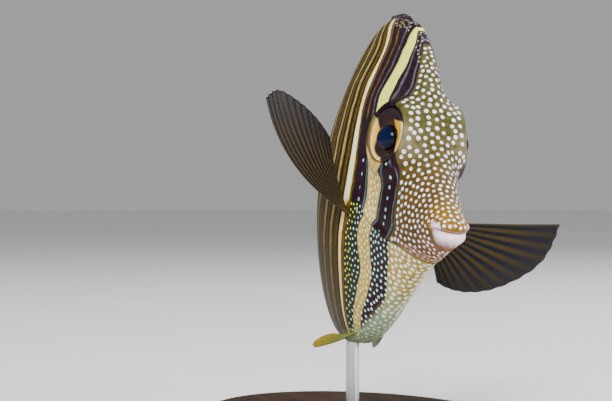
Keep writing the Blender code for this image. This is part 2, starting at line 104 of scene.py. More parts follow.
# Fineness of the skin: rows along the head, the body and the tail's wedge, and levels from keel to crest
HEAD_FINE, BODY_FINE, WEDGE_FINE, RIDGE_FINE = 260, 280, 10, 6
HEAD_CROWDING, BODY_CROWDING = 1.45, 1.5
LEVEL_FINE = 240
WEDGE_END = 1.035

# Fins: the web's thickness, a ray's height above it and FOOT_SINK in metres, then shares, counts and turns
WEB_ROOT, WEB_THICK, WEB_TIP = 0.00090, 0.00016, 0.00010
RAY_HEIGHT = 0.00026
RAY_NOTCH = 0.008
RAY_STEPS, FIN_ROWS = 6, 64
ROOT_SINK, FOOT_SINK = 0.010, 0.0006
DORSAL_RAYS = ((0.305, 0.040, 72), (0.325, 0.056, 74), (0.355, 0.060, 78), (0.39, 0.066, 80),
               (0.46, 0.100, 79), (0.55, 0.160, 78), (0.65, 0.235, 75), (0.75, 0.265, 69),
               (0.85, 0.235, 62), (0.895, 0.170, 57))
ANAL_RAYS = ((0.510, 0.040, 72), (0.56, 0.100, 74), (0.65, 0.185, 74), (0.75, 0.225, 69), (0.85, 0.210, 60),
             (0.895, 0.160, 54))
DORSAL_COUNT, ANAL_COUNT = 33, 26
DORSAL_LEAN, ANAL_LEAN = 0.35, 0.0
RAY_BOW = 0.06
CAUDAL_COUNT, CAUDAL_FAN = 16, radians(21)
CAUDAL_OUTER, CAUDAL_MIDDLE = 0.235, 0.195
PECTORAL_COUNT, PECTORAL_RAY = 13, 0.284
PECTORAL_ROOT = ((0.304, -0.160), (0.326, -0.130))
PECTORAL_SHAPE = ((0.0, 1.0), (0.1, 0.99), (0.25, 0.96), (0.50, 0.80), (0.75, 0.63), (1.0, 0.47))
PELVIC_COUNT, PELVIC_RAY = 6, 0.175
PELVIC_ROOT = ((0.306, -0.955), (0.342, -0.965))
PELVIC_SHAPE = ((0.0, 1.0), (0.25, 0.98), (0.6, 0.75), (1.0, 0.45))
RAISED = (((-0.83, 0.27, 0.49), (-0.11, 0.26, 0.96)), ((-0.36, 0.00, 0.93), (-0.03, 0.21, 0.98)))
SPREAD = (((0.98, 0.18, -0.04), (1.00, -0.01, 0.00)), ((0.45, 0.20, -0.87), (0.31, 0.39, -0.87)))
TRAILED = (((0.22, 0.89, -0.38), (0.20, 0.96, -0.16)), ((0.24, 0.95, -0.14), (0.24, 0.97, 0.04)))
SPINE_FRONT, SPINE_BACK, SPINE_LEVEL = 0.915, 0.972, 0.02
SPINE_HALF_HEIGHT, SPINE_HALF_THICK = 0.0062, 0.0036

# Stand, in metres
BASE_HALF_LENGTH, BASE_HALF_WIDTH, BASE_THICK, BASE_ROUND = 0.050, 0.034, 0.008, 0.0015
ROD_RADIUS, ROD_STATION = 0.0015, 0.462

# Front borders of the bands behind the face, as points of level and station, from the eye band backwards
EYE_BAND = ((-1.0, 0.250), (-0.92, 0.213), (-0.825, 0.196), (-0.645, 0.173), (-0.43, 0.160), (-0.315, 0.143),
            (0.13, 0.130), (0.365, 0.136), (0.595, 0.142), (0.81, 0.175), (0.885, 0.194), (0.945, 0.205),
            (1.0, 0.228))
CREAM_BAND = ((-1.0, 0.330), (-0.865, 0.288), (-0.71, 0.243), (-0.465, 0.231), (-0.285, 0.228),
              (-0.165, 0.205), (0.065, 0.196), (0.22, 0.188), (0.36, 0.178), (0.50, 0.215),
              (0.585, 0.248), (0.685, 0.246), (0.88, 0.238), (0.975, 0.250), (1.0, 0.261))
DARK_BAND = ((-1.0, 0.350), (-0.8, 0.309), (-0.71, 0.293), (-0.615, 0.276), (-0.215, 0.270), (-0.12, 0.252),
             (0.045, 0.243), (0.155, 0.250), (0.26, 0.263), (0.5, 0.283), (0.56, 0.287), (0.63, 0.281),
             (0.71, 0.271), (0.885, 0.268), (1.0, 0.273))
WHITE_STRIPE = ((-1.0, 0.358), (-0.61, 0.336), (-0.29, 0.325), (-0.12, 0.313), (0.09, 0.308), (0.28, 0.318),
                (0.51, 0.336), (0.73, 0.331), (0.87, 0.336), (1.0, 0.381))
REAR_BORDER = ((-1.0, 0.368), (-0.605, 0.355), (-0.29, 0.350), (0.0, 0.333), (0.2, 0.335), (0.39, 0.344),
               (0.6, 0.352), (0.865, 0.350), (1.0, 0.403))
STRIPE_PERIOD = 0.088

# Camera: its turn, how far it is behind, beside and above the snout, in metres, and its lens, in millimetres
CAMERA_TURN = radians(18)
CAMERA_BACK, CAMERA_SIDE, CAMERA_UP = 0.332, 0.0291, 0.00645
LENS, SENSOR = 100.0, 36.0

# Studio: each light's name, place, size and watts, the point they face, the strength of the world's light,
# the floor's radius, and how bright a white surface gets
LIGHTS = (("key", (-0.45, -0.75, 0.75), 0.50, 20.0), ("fill", (0.70, -0.65, 0.35), 0.60, 8.0),
          ("back", (0.80, 0.30, 0.80), 0.50, 8.0))
LIT_POINT = (0.0, 0.0, 0.055)
WORLD_STRENGTH, FLOOR_RADIUS = 0.45, 9.0
STUDIO_LIGHT = 1.6


def tone(red, green, blue):
    """A colour as the lit picture should show it, 0 to 255, to the surface's own linear colour."""
    share = np.array((red, green, blue)) / 255
    seen = 0.212 * share**1.25 / (1 - share) ** 1.285
    return tuple(float(value) for value in np.clip(seen / STUDIO_LIGHT, 0.001, 0.88))


# Colours of the living fish, and a painted sheen on the brow and painted shade for the gill slit and its
# folds
OLIVE, GOLDEN, CHEEK = tone(92, 88, 36), tone(146, 114, 6), tone(102, 76, 20)
LIP, CHIN, THROAT = tone(218, 198, 202), tone(150, 110, 82), tone(108, 68, 34)
# the second colour here is a painted sheen: a pale patch on the brow that stands for light
FOLD, BROW_SHEEN = tone(172, 146, 122), tone(176, 166, 146)
BREAST, BELLY = tone(176, 162, 88), tone(164, 178, 152)
FACE_DOT, BREAST_DOT, AQUA_DOT = tone(202, 201, 246), tone(222, 226, 236), tone(180, 210, 204)
LIME_DOT, CREAM_DOT, JAW_DOT = tone(196, 200, 108), tone(238, 230, 190), tone(216, 194, 184)
PLUM, MAROON, INK = tone(40, 20, 34), tone(36, 12, 22), tone(26, 26, 30)
CREAM, BEIGE, PALE_BLUE = tone(210, 208, 134), tone(188, 174, 116), tone(90, 112, 124)
WHITE, LEMON = tone(224, 218, 192), tone(180, 170, 50)
UMBER, OCHRE, STRAW = tone(32, 19, 7), tone(106, 79, 7), tone(172, 160, 92)
STREAK, RUST = tone(104, 100, 112), tone(120, 92, 24)
# the first colour here is painted shade for the gill slit and the grooves of its folds
SLIT_SHADE, MOUTH_TONE, RIM_TONE = tone(96, 52, 30), tone(140, 86, 44), tone(30, 10, 18)

# Columns of single dots: the band, its top and low level, the count and the colour, then size and strength
COLUMNS = ((0, 0.40, -0.28, 8, AQUA_DOT), (2, 0.20, -0.10, 5, AQUA_DOT))
COLUMN_DOT, COLUMN_STRENGTH = 0.00042, 0.6

# Seeds of the dots' places and of their sizes
PLACE_SEED, SIZE_SEED = 7, 11


def curve_through(points):
    """A smooth curve through points, as a function of their first number."""
    at, value = np.array(points, float).T
    slope = np.gradient(value, at)

    def curve(x):
        x = np.clip(x, at[0], at[-1])
        i = np.clip(np.searchsorted(at, x) - 1, 0, len(at) - 2)
        span = at[i + 1] - at[i]
        t = (x - at[i]) / span
        start = value[i] * (1 + 2 * t) * (1 - t) ** 2 + slope[i] * span * t * (1 - t) ** 2
        end = value[i + 1] * t * t * (3 - 2 * t) - slope[i + 1] * span * t * t * (1 - t)
        return start + end

    return curve


crest, keel, flank, half_width = map(curve_through, (CREST, KEEL, FLANK, HALF_WIDTH))
back_sharpness, belly_sharpness = curve_through(BACK_SHARPNESS), curve_through(BELLY_SHARPNESS)
gill_opening = curve_through(GILL_OPENING)
BORDERS = [curve_through(points) for points in (EYE_BAND, CREAM_BAND, DARK_BAND, WHITE_STRIPE, REAR_BORDER)]


def smooth(x):
    """0 below 0, 1 above 1, and an even rise between."""
    t = np.clip(x, 0, 1)
    return t * t * (3 - 2 * t)


def spine_line():
    """Stations along the spine, with the heading and the place of each in the middle plane."""
    station = np.linspace(0, 1.6, 400)
    heading = TURN * smooth((station - TURN_START) / (TURN_END - TURN_START))
    step = station[1]
    across = np.concatenate([[0], np.cumsum((np.sin(heading[1:]) + np.sin(heading[:-1])) / 2 * step)])
    along = np.concatenate([[0], np.cumsum((np.cos(heading[1:]) + np.cos(heading[:-1])) / 2 * step)])
    return station, heading, across, along


SPINE = spine_line()
POSE = np.array(Matrix.Rotation(DIP, 3, "X") @ Matrix.Rotation(ROLL, 3, "Y"))


def place(station, across, height):
    """Points of the straight fish, in shares of its length, to points of the turning fish in metres."""
    station, across, height = np.broadcast_arrays(station, across, height)
    heading, spine_x, spine_y = (np.interp(station, SPINE[0], values) for values in SPINE[1:])
    across = across + CREST_LEAN * np.clip((height - LEAN_FROM) / (LEAN_TO - LEAN_FROM), 0, 1)
    x = spine_x + across * np.cos(heading)
    y = spine_y + np.minimum(station, 0) - across * np.sin(heading)
    return np.stack([x, y, height], -1) * LENGTH @ POSE.T + SNOUT_TIP


def mouth_line(across):
    """Height of the line between the lips, which rises towards both corners."""
    return MOUTH_RISE * (across / MOUTH_HALF) ** 2


def lips(station, across, height):
    """How far the lips stand out, or the cut between them goes in."""
    off = np.abs(height - mouth_line(across))
    fade = smooth(1.25 * (1 - station / MOUTH_BACK))
    lip = LIP_LIFT * np.exp(-(((off - LIP_FROM_CUT) / LIP_HALF) ** 2))
    return fade * (lip - MOUTH_CUT * np.exp(-((off / MOUTH_CUT_HALF) ** 2)))


def body_point(station, level, side, cover=0.0):
    """A point of the straight body's surface. cover raises the gill cover's edge."""
    nose = np.sqrt(np.clip(1 - (1 - np.clip(station / NOSE_ROUND, 0, 1)) ** 2, 0, 1))
    middle = flank(station)
    top = middle + nose * (crest(station) - middle)
    low = middle + nose * (keel(station) - middle)
    wide = nose * half_width(station)
    sharp = np.where(level > 0, back_sharpness(station), belly_sharpness(station))
    rise = np.abs(level)
    height = middle + np.where(level > 0, (top - middle) * rise, (low - middle) * rise)
    ridge = np.minimum(RIDGE_HALF, 0.3 * wide)
    across = ridge + (wide - ridge) * (1 - rise**SECTION_POWER) ** sharp
    jaw = smooth((mouth_line(across) - height) / JAW_DROP) * (1 - smooth(station / JAW_REACH))
    across = across * (1 - JAW_NARROW * jaw)
    near_eye = ((station - EYE_STATION) / ORBIT_REACH) ** 2 + ((height - EYE_HEIGHT) / ORBIT_REACH) ** 2
    across = across + ORBIT_LIFT * np.exp(-(near_eye**2)) * np.clip(across / ORBIT_FADE, 0, 1)
    out = lips(station, across, height)
    core = np.sqrt((station - MOUTH_CORE) ** 2 + across**2 + height**2)
    station = station + out * (station - MOUTH_CORE) / core
    across = across * (1 + out / core) + cover * np.sqrt(1 - rise**2)
    height = height + (out / core) * height
    return station, side * across, height


def surface(station, level, side):
    return place(*body_point(np.asarray(station, float), np.asarray(level, float), side))


def level_list(count):
    """Levels from the keel to the crest, closest together at the line of the mouth."""
    t = np.linspace(-1, 1, count)
    return np.sin(pi / 2 * t * (0.45 + 0.55 * np.abs(t)))


# Meshes
def signed_volume(points, faces):
    """Positive where faces look out. A triangle has its last corner twice."""
    a, b, c, d = (points[faces[:, i]] for i in range(4))
    return np.einsum("ij,ij->", a, np.cross(b, c)) + np.einsum("ij,ij->", a, np.cross(c, d))


def make_object(name, mesh, look, slot, *nodes):
    """A piece that rides on the root body, takes a finish and stands for some nodes; its slot is not used."""
    thing = bpy.data.objects.new(name, mesh)
    bpy.context.scene.collection.objects.link(thing)
    mesh.materials.append(look)
    mesh.shade_smooth()
    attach(thing, "root")
    if nodes:
        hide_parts(*nodes)
    return thing


def keep_marks(mesh, marks, domain="POINT"):
    """Keep numbers, places (names in _at) or colours at a mesh's points or faces, for its material."""
    for name, values in marks.items():
        values = np.asarray(values, np.float32)
        if values.ndim == 1:
            mesh.attributes.new(name, "FLOAT", domain).data.foreach_set("value", values)
        elif name.endswith("_at"):
            mesh.attributes.new(name, "FLOAT_VECTOR", domain).data.foreach_set("vector", values.ravel())
        else:
            values = np.concatenate([values, np.ones((len(values), 1), np.float32)], 1)
            mesh.attributes.new(name, "FLOAT_COLOR", domain).data.foreach_set("color", values.ravel())


def mesh_of(name, points, faces, marks=None, closed=True):
    """A mesh from arrays, the faces of a closed one turned out. A triangle has its last corner twice."""
    points = np.asarray(points, float).reshape(-1, 3)
    if closed and signed_volume(points - points.mean(0), faces) < 0:
        faces = turn_over(faces)
    mesh = bpy.data.meshes.new(name)
    corners = [face[:3] if face[2] == face[3] else face for face in faces.tolist()]
    mesh.from_pydata(points.tolist(), [], corners)
    keep_marks(mesh, marks or {})
    return mesh


def turn_over(faces):
    triangle = (faces[:, 2] == faces[:, 3])[:, None]
    return np.where(triangle, faces[:, [1, 0, 2, 2]], faces[:, [1, 0, 3, 2]])


def ring_faces(rows, columns):
    """Quads between the rings of a tube, where each ring has the same count of points."""
    ring = np.arange(columns)
    after = (ring + 1) % columns
    i = np.arange(rows - 1)[:, None] * columns
    return np.stack([i + ring, i + after, i + columns + after, i + columns + ring], -1).reshape(-1, 4)


def close_ends(grid):
    """Points and faces of a tube closed by a fan at each end. Its last two points are the fans' middles."""
    rows, columns = grid.shape[:2]
    points = np.concatenate([grid.reshape(-1, 3), grid[:1].mean(1), grid[-1:].mean(1)])
    ring = np.arange(columns)
    after = (ring + 1) % columns
    first, last = np.full(columns, rows * columns), np.full(columns, rows * columns + 1)
    end = (rows - 1) * columns
    fan = np.stack([first, after, ring, ring], 1)
    far_fan = np.stack([last, end + ring, end + after, end + after], 1)
    return points, np.concatenate([ring_faces(rows, columns), fan, far_fan])


def shaped_mesh(name, operation, **settings):
    """A mesh made by one mesh operation."""
    mesh = bpy.data.meshes.new(name)
    work = bmesh.new()
    operation(work, **settings)
    work.to_mesh(mesh)
    work.free()
    return mesh


def unit(vectors):
    """Vectors of the same directions, each of length 1."""
    return vectors / np.linalg.norm(vectors, axis=-1)[..., None]


def blend_colors(first, second, share):
    return np.asarray(first) + (np.asarray(second) - np.asarray(first)) * np.asarray(share)[..., None]


# Materials
def new_look(name, roughness, **more):
    """A material, its node tree and its shader, with whole-surface numbers set on the shader itself."""
    made = bpy.data.materials.new(name)
    made.use_nodes = True
    shader = made.node_tree.nodes["Principled BSDF"]
    shader.inputs["Roughness"].default_value = roughness
    for socket, value in more.items():
        shader.inputs[socket.replace("_", " ")].default_value = value
    return made, made.node_tree, shader


def add_node(tree, kind, inputs=None, **settings):
    made = tree.nodes.new("ShaderNode" + kind)
    for key, value in settings.items():
        setattr(made, key, value)
    for key, value in (inputs or {}).items():
        if isinstance(value, bpy.types.NodeSocket):
            tree.links.new(value, made.inputs[key])
        else:
            made.inputs[key].default_value = value
    return made


def reckon(tree, operation, first, second=0.0):
    return add_node(tree, "Math", {0: first, 1: second}, operation=operation).outputs[0]


def mark(tree, name, output="Fac"):
    return add_node(tree, "Attribute", attribute_name=name).outputs[output]


def as_color(value):
    return value if isinstance(value, bpy.types.NodeSocket) else (*value[:3], 1)


def mix(tree, share, first, second, blend="MIX"):
    inputs = {0: share, 6: as_color(first), 7: as_color(second)}
    return add_node(tree, "Mix", inputs, data_type="RGBA", blend_type=blend).outputs[2]


def paint(tree, shader, color):
    tree.links.new(color, shader.inputs["Base Color"])


def sway(tree, value, reach):
    """A value from 0 to 1 turned to small numbers on either side of 0."""
    return reckon(tree, "MULTIPLY", reckon(tree, "SUBTRACT", value, 0.5), reach)


def ramp(tree, value, stops):
    """Colours along a value from 0 to 1; a stop is its place, its colour and how much it covers."""
    made = add_node(tree, "ValToRGB", {0: value})
    scale = made.color_ramp
    while len(scale.elements) < len(stops):
        scale.elements.new(0.5)
    for element, (at, color, cover) in zip(scale.elements, stops):
        element.position = at
        element.color = (*color, cover)
    return made


def span(tree, value, low, high):
    """A value's smooth rise from 0 at low to 1 at high."""
    inputs = {0: value, 1: low, 2: high}
    return add_node(tree, "MapRange", inputs, interpolation_type="SMOOTHSTEP").outputs[0]


def where_at(tree, stretch=(1, 1, 1)):
    place_of = add_node(tree, "TexCoord").outputs["Object"]
    return add_node(tree, "Mapping", {"Vector": place_of, "Scale": stretch}).outputs[0]


def noise(tree, scale, detail=3.0, stretch=(1, 1, 1)):
    inputs = {"Vector": where_at(tree, stretch), "Scale": scale, "Detail": detail}
    return add_node(tree, "TexNoise", inputs).outputs[0]


def raise_bumps(tree, shader, height, distance, strength):
    inputs = {"Height": height, "Distance": distance, "Strength": strength}
    tree.links.new(add_node(tree, "Bump", inputs).outputs[0], shader.inputs["Normal"])


# Bands as stretches of the band number, which is 0 at the face's border and 4 at the rear lines
RAMP_FROM, RAMP_TO, BAND_SOFT = -0.5, 4.5, 0.012


def band_stops(parts):
    """Ramp stops from (start, end, colour) stretches of the band number, with narrow changes between them."""
    first, _, front = parts[0]
    stops = [(first - BAND_SOFT, front, 0.0)]
    for start, end, color in parts:
        stops += [(start + BAND_SOFT, color, 1.0), (end - BAND_SOFT, color, 1.0)]
    stops = [((at - RAMP_FROM) / (RAMP_TO - RAMP_FROM), color, cover) for at, color, cover in stops]
    return [(0.0, front, 0.0), *stops]


NAPE = ((0.0, 0.20, PLUM), (0.20, 0.36, STREAK), (0.36, 0.76, PLUM), (0.76, 0.86, STREAK), (0.86, 1.0, PLUM),
        (1.0, 2.0, CREAM), (2.0, 2.20, PLUM), (2.20, 2.27, STREAK), (2.27, 2.52, PLUM), (2.52, 2.60, RUST),
        (2.60, 2.88, PLUM), (2.88, 3.02, RUST), (3.02, 3.16, PLUM), (3.16, 3.78, WHITE), (3.78, 4.0, LEMON))
COVER = ((0.0, 0.07, PLUM), (0.07, 0.13, PALE_BLUE), (0.13, 0.86, MAROON), (0.86, 0.92, PALE_BLUE),
         (0.92, 1.0, INK), (1.0, 2.0, BEIGE), (2.0, 2.05, INK), (2.05, 2.13, PALE_BLUE), (2.13, 2.90, PLUM),
         (2.90, 3.02, OCHRE), (3.02, 3.12, LEMON), (3.12, 3.84, WHITE), (3.84, 4.0, OCHRE))
UNDER = ((0.0, 1.0, tone(50, 20, 32)), (1.0, 2.0, tone(186, 172, 104)), (2.0, 2.94, tone(40, 40, 24)),
         (2.94, 3.35, OCHRE), (3.35, 3.80, tone(216, 196, 150)), (3.80, 4.0, UMBER))
REAR = [(at, color, 1.0) for at, color in (
    (0.0, UMBER), (0.04, UMBER), (0.07, OCHRE), (0.15, OCHRE), (0.18, UMBER), (0.25, UMBER),
    (0.28, OCHRE), (0.33, STRAW), (0.39, STRAW), (0.42, UMBER), (0.50, UMBER), (0.53, OCHRE),
    (0.60, OCHRE), (0.63, UMBER), (0.68, UMBER), (0.72, STRAW), (0.79, STRAW), (0.82, UMBER),
    (0.88, UMBER), (0.91, OCHRE), (0.96, OCHRE), (1.0, UMBER))]


def skin_look():
    """Living skin: broad colours, bands, dots, fine scales and a wet gloss."""
    look, tree, shader = new_look("skin", 0.5, Specular_IOR_Level=0.09)
    ripple = sway(tree, noise(tree, 260.0), 0.16)
    band = reckon(tree, "ADD", mark(tree, "band"), ripple)
    place_in = add_node(tree, "MapRange", {0: band, 1: RAMP_FROM, 2: RAMP_TO}).outputs[0]
    nape, cover, under = (ramp(tree, place_in, band_stops(parts)) for parts in (NAPE, COVER, UNDER))
    banded = mix(tree, mark(tree, "on_cover"), nape.outputs[0], cover.outputs[0])
    banded = mix(tree, mark(tree, "below"), banded, under.outputs[0])
    turn = reckon(tree, "ADD", mark(tree, "rear"), reckon(tree, "MULTIPLY", ripple, 0.6))
    rear = ramp(tree, reckon(tree, "FRACT", turn), REAR).outputs[0]
    rear = mix(tree, reckon(tree, "MULTIPLY", mark(tree, "low"), 0.7), rear, mix(tree, 0.3, UMBER, OCHRE))
    banded = mix(tree, span(tree, band, 3.98, 4.02), banded, rear)
    shown = reckon(tree, "MULTIPLY", nape.outputs[1], mark(tree, "banded"))
    color = mix(tree, shown, mark(tree, "ground", "Color"), banded)
    mottle = noise(tree, 900.0, 4.0)
    patchy = mix(tree, span(tree, mottle, 0.3, 0.7), (0.20, 0.27, 0.16), (0.80, 0.70, 0.78))
    color = mix(tree, 0.6, color, patchy, "SOFT_LIGHT")
    spots = {0: add_node(tree, "TexCoord").outputs["Object"], 1: mark(tree, "dot_at", "Vector")}
    away = add_node(tree, "VectorMath", spots, operation="DISTANCE").outputs[1]
    edge = reckon(tree, "DIVIDE", away, mark(tree, "dot_size"))
    edge = reckon(tree, "ADD", edge, sway(tree, mottle, 0.35))
    dotted = reckon(tree, "SUBTRACT", 1.0, span(tree, edge, 0.66, 1.16))
    dotted = reckon(tree, "MULTIPLY", dotted, mark(tree, "dot_share"))
    color = mix(tree, dotted, color, mark(tree, "dot_color", "Color"))
    # lines, among them painted shade in the gill slit and in the folds' grooves
    color = mix(tree, mark(tree, "line"), color, mark(tree, "line_color", "Color"))
    paint(tree, shader, color)
    rough = add_node(tree, "MapRange", {0: noise(tree, 1800.0, 2.0), 3: 0.42, 4: 0.58}).outputs[0]
    tree.links.new(rough, shader.inputs["Roughness"])
    scales = add_node(tree, "TexVoronoi", {"Vector": where_at(tree, (1.0, 0.7, 1.0)), "Scale": 2600.0})
    height = reckon(tree, "MULTIPLY", scales.outputs["Distance"], 0.6)
    height = reckon(tree, "ADD", height, reckon(tree, "MULTIPLY", mottle, 0.5))
    raise_bumps(tree, shader, height, 0.00006, 0.55)
    return look


def fin_look(name, web, ray, tip, web_cover, tip_cover):
    """A thin web with rays: its colours, and how much light the web stops at the root and at the tip."""
    look, tree, shader = new_look(name, 0.42, Specular_IOR_Level=0.12)
    on_ray, along, root = mark(tree, "ray"), mark(tree, "along"), mark(tree, "root")
    streak = noise(tree, 1300.0, 3.0)
    pale_ray = mix(tree, reckon(tree, "MULTIPLY", span(tree, along, 0.55, 1.0), 0.7), ray, tip)
    color = mix(tree, on_ray, mix(tree, span(tree, along, 0.55, 1.0), web, tip), pale_ray)
    color = mix(tree, 0.6, color, mix(tree, streak, (0.3, 0.3, 0.3), (1.0, 1.0, 1.0)), "SOFT_LIGHT")
    color = mix(tree, reckon(tree, "MULTIPLY", root, 0.85), color, ray)
    paint(tree, shader, color)
    thin = add_node(tree, "MapRange", {0: along, 3: web_cover, 4: tip_cover}).outputs[0]
    thick = add_node(tree, "MapRange", {0: along, 3: 1.0, 4: 0.3 + 0.7 * tip_cover}).outputs[0]
    solid = add_node(tree, "Mix", {0: on_ray, 2: thin, 3: thick}, data_type="FLOAT").outputs[0]
    solid = reckon(tree, "MAXIMUM", solid, root)
    tree.links.new(solid, shader.inputs["Alpha"])
    raise_bumps(tree, shader, streak, 0.00005, 0.4)
    return look


def median_look():
    """Fins of the back and belly: the flank's lines go on, with small pale dots at the very front."""
    look, tree, shader = new_look("median_fin", 0.42, Specular_IOR_Level=0.12)
    turn = reckon(tree, "ADD", mark(tree, "rear"), sway(tree, noise(tree, 240.0), 0.14))
    color = ramp(tree, reckon(tree, "FRACT", turn), REAR).outputs[0]
    cells = add_node(tree, "TexVoronoi", {"Vector": where_at(tree), "Scale": 950.0, "Randomness": 0.4})
    spots = reckon(tree, "SUBTRACT", 1.0, span(tree, cells.outputs["Distance"], 0.16, 0.26))
    front = mix(tree, reckon(tree, "MULTIPLY", spots, 0.5), PLUM, CREAM_DOT)
    color = mix(tree, mark(tree, "front"), color, front)
    color = mix(tree, reckon(tree, "MULTIPLY", mark(tree, "ray"), 0.35), color, UMBER)
    color = mix(tree, reckon(tree, "MULTIPLY", span(tree, mark(tree, "along"), 0.93, 0.99), 0.8), color, INK)
    paint(tree, shader, color)
    raise_bumps(tree, shader, noise(tree, 1300.0, 3.0), 0.00005, 0.4)
    return look


def tail_look():
    """Tail fin: dark, with small pale dots between the rays."""
    look, tree, shader = new_look("tail_fin", 0.42, Specular_IOR_Level=0.12)
    cells = add_node(tree, "TexVoronoi", {"Vector": where_at(tree), "Scale": 620.0, "Randomness": 0.7})
    spots = reckon(tree, "SUBTRACT", 1.0, span(tree, cells.outputs["Distance"], 0.24, 0.34))
    color = mix(tree, noise(tree, 400.0), PLUM, UMBER)
    color = mix(tree, spots, color, tone(196, 196, 168))
    color = mix(tree, reckon(tree, "MULTIPLY", mark(tree, "ray"), 0.4), color, UMBER)
    color = mix(tree, span(tree, mark(tree, "along"), 0.90, 0.99), color, tone(120, 116, 118))
    paint(tree, shader, color)
    raise_bumps(tree, shader, noise(tree, 1300.0, 3.0), 0.00005, 0.4)
    return look


# Skin
def scatter(points, allowed, spacing, seed):
    """Points of a set that keep their own spacing from one another, taken in a seeded random order."""
    cell = float(spacing[allowed].max())
    grid = {}
    chosen = []
    order = np.flatnonzero(allowed)
    np.random.default_rng(seed).shuffle(order)
    near = [(i, j, k) for i in (-1, 0, 1) for j in (-1, 0, 1) for k in (-1, 0, 1)]
    cells = np.floor(points / cell).astype(int)
    for index in order:
        x, y, z = points[index]
        a, b, c = cells[index]
        reach = spacing[index] ** 2
        close = (spot for i, j, k in near for spot in grid.get((a + i, b + j, c + k), ()))
        if all((x - u) ** 2 + (y - v) ** 2 + (z - w) ** 2 >= reach for u, v, w in close):
            grid.setdefault((a, b, c), []).append((x, y, z))
            chosen.append(index)
    return np.array(chosen)


def nearest(spots, points):
    """For each point, the number of the nearest spot and the distance to it."""
    tree = KDTree(len(spots))
    for number, spot in enumerate(spots):
        tree.insert(spot, number)
    tree.balance()
    found = [tree.find(point)[1:] for point in points]
    number, distance = zip(*found)
    return np.array(number), np.array(distance)


def even_out(spots, points, areas, rounds):
    """Move each spot to the middle of the points nearest to it, weighed by their areas, a few times."""
    for _ in range(rounds):
        number, _ = nearest(spots, points)
        count = np.bincount(number, areas, len(spots))[:, None]
        total = np.stack([np.bincount(number, points[:, i] * areas, len(spots)) for i in range(3)], 1)
        spots = np.where(count > 0, total / np.maximum(count, 1e-12), spots)
    return spots


def ring_points():
    """Level and side of the points once round the body, with a few across the crest and the keel."""
    levels = level_list(LEVEL_FINE)
    bridge = np.linspace(1, -1, RIDGE_FINE + 2)[1:-1]
    level = np.concatenate([levels, np.ones(RIDGE_FINE), levels[::-1], -np.ones(RIDGE_FINE)])
    side = np.concatenate([np.ones(LEVEL_FINE), bridge, -np.ones(LEVEL_FINE), -bridge])
    return level, side


def wrinkles(ahead_of_slit, level):
    """Fine folds of the cover's edge under the jaw, that run along the gill opening."""
    fold = (0.5 + 0.5 * np.cos(2 * pi * ahead_of_slit / FOLD_PERIOD)) ** 3
    return fold * smooth((FOLD_REACH - ahead_of_slit) / 0.02) * smooth((-0.34 - level) / 0.25)


def skin_rows():
    """Station, cover and whether it is ahead of the gill opening, for each point of the skin."""
    ring, _ = ring_points()
    opening = gill_opening(ring)
    lift = COVER_LIFT * smooth((COVER_TOP - ring) / 0.2)
    depth = SLIT_DEPTH * smooth((COVER_TOP - ring) / 0.2) * smooth((ring - SLIT_LOW) / 0.2)
    rows = []
    for t in np.linspace(0.002, 1, HEAD_FINE):
        station = opening * t**HEAD_CROWDING
        near = smooth(1 - (opening - station) / COVER_REACH)
        rows.append((station, lift * near - FOLD_DEPTH * wrinkles(opening - station, ring), 1.0))
    rows.append((opening + 0.0004, lift * 0.45, 1.0))
    rows.append((opening + 0.0002, -depth, 0.0))
    for t in np.linspace(0, 1, BODY_FINE) ** BODY_CROWDING:
        station = opening + 0.0014 + (1.0 - opening - 0.0014) * t
        rows.append((station, -depth * np.exp(-(((station - opening) / SLIT_WIDTH) ** 2)), 0.0))
    for t in np.linspace(0, 1, WEDGE_FINE)[1:]:
        rows.append((1.0 + (WEDGE_END - 1.0) * t, 0.0, 0.0))
    return (np.array([row[i] + 0 * ring for row in rows]) for i in (0, 1, 2))


def eye_frame(side):
    """Where an eye sits, with its own X axis looking out, forward and a little up."""
    spot = place(EYE_STATION, side * EYE_ACROSS, EYE_HEIGHT)
    aim = Matrix.Rotation(EYE_FORWARD if side < 0 else -EYE_FORWARD, 4, "Z")
    aim = aim @ Matrix.Rotation(-EYE_UP * side, 4, "Y")
    return Matrix.Translation(Vector(spot)) @ Matrix(POSE.tolist()).to_4x4() @ aim


def moved(points, matrix):
    """Points after a transform."""
    turned = np.array(matrix)
    return points @ turned[:3, :3].T + turned[:3, 3]


def out_of_eye(points, side):
    """An eye's own coordinates of some points, its X turned to look out of the head on either side."""
    return moved(points, eye_frame(side).inverted()) * (side, 1, 1)


def seat_eyes(points, sides):
    """Press the skin to a raised rim at each eye and down under it. Also gives the distance in eye radii."""
    radius = EYE_RADIUS * LENGTH
    share = np.full(points.shape[:-1], 9.0)
    for side in (1, -1):
        own = out_of_eye(points, side)
        far = np.hypot(own[..., 1], own[..., 2]) / radius
        near = (sides == side) & (own[..., 0] > -0.004) & (far < 1.6)
        rim = RIM_HEIGHT + RIM_LIP * np.exp(-(((far - 1.10) / 0.06) ** 2))
        hold = smooth((1.50 - far) / 0.42)
        lifted = own[..., 0] + (rim - own[..., 0]) * hold
        lifted = lifted - RIM_SINK * smooth((1.035 - far) / 0.16)
        own[..., 0] = np.where(near, lifted, own[..., 0])
        points = np.where(near[..., None], moved(own * (side, 1, 1), eye_frame(side)), points)
        share = np.where(near, np.minimum(share, far), share)
    return points, share


def dent_nostrils(points):
    """Press the nostrils' pits, each with a fine rim. Also gives the distance in nostril radii."""
    share = np.full(points.shape[:-1], 9.0)
    for at, up, radius in NOSTRILS:
        level = (up - flank(at)) / (crest(at) - flank(at))
        for side in (1, -1):
            far = np.linalg.norm(points - surface(at, level, side), axis=-1) / (radius * LENGTH)
            inward = np.array([-0.8 * side, 0.6, 0]) @ POSE.T
            deep = NOSTRIL_DEPTH * smooth((1.1 - far) / 0.6)
            deep = deep - NOSTRIL_RIM * np.exp(-(((far - 1.35) / 0.25) ** 2))
            points = points + inward * deep[..., None]
            share = np.minimum(share, far)
    return points, share


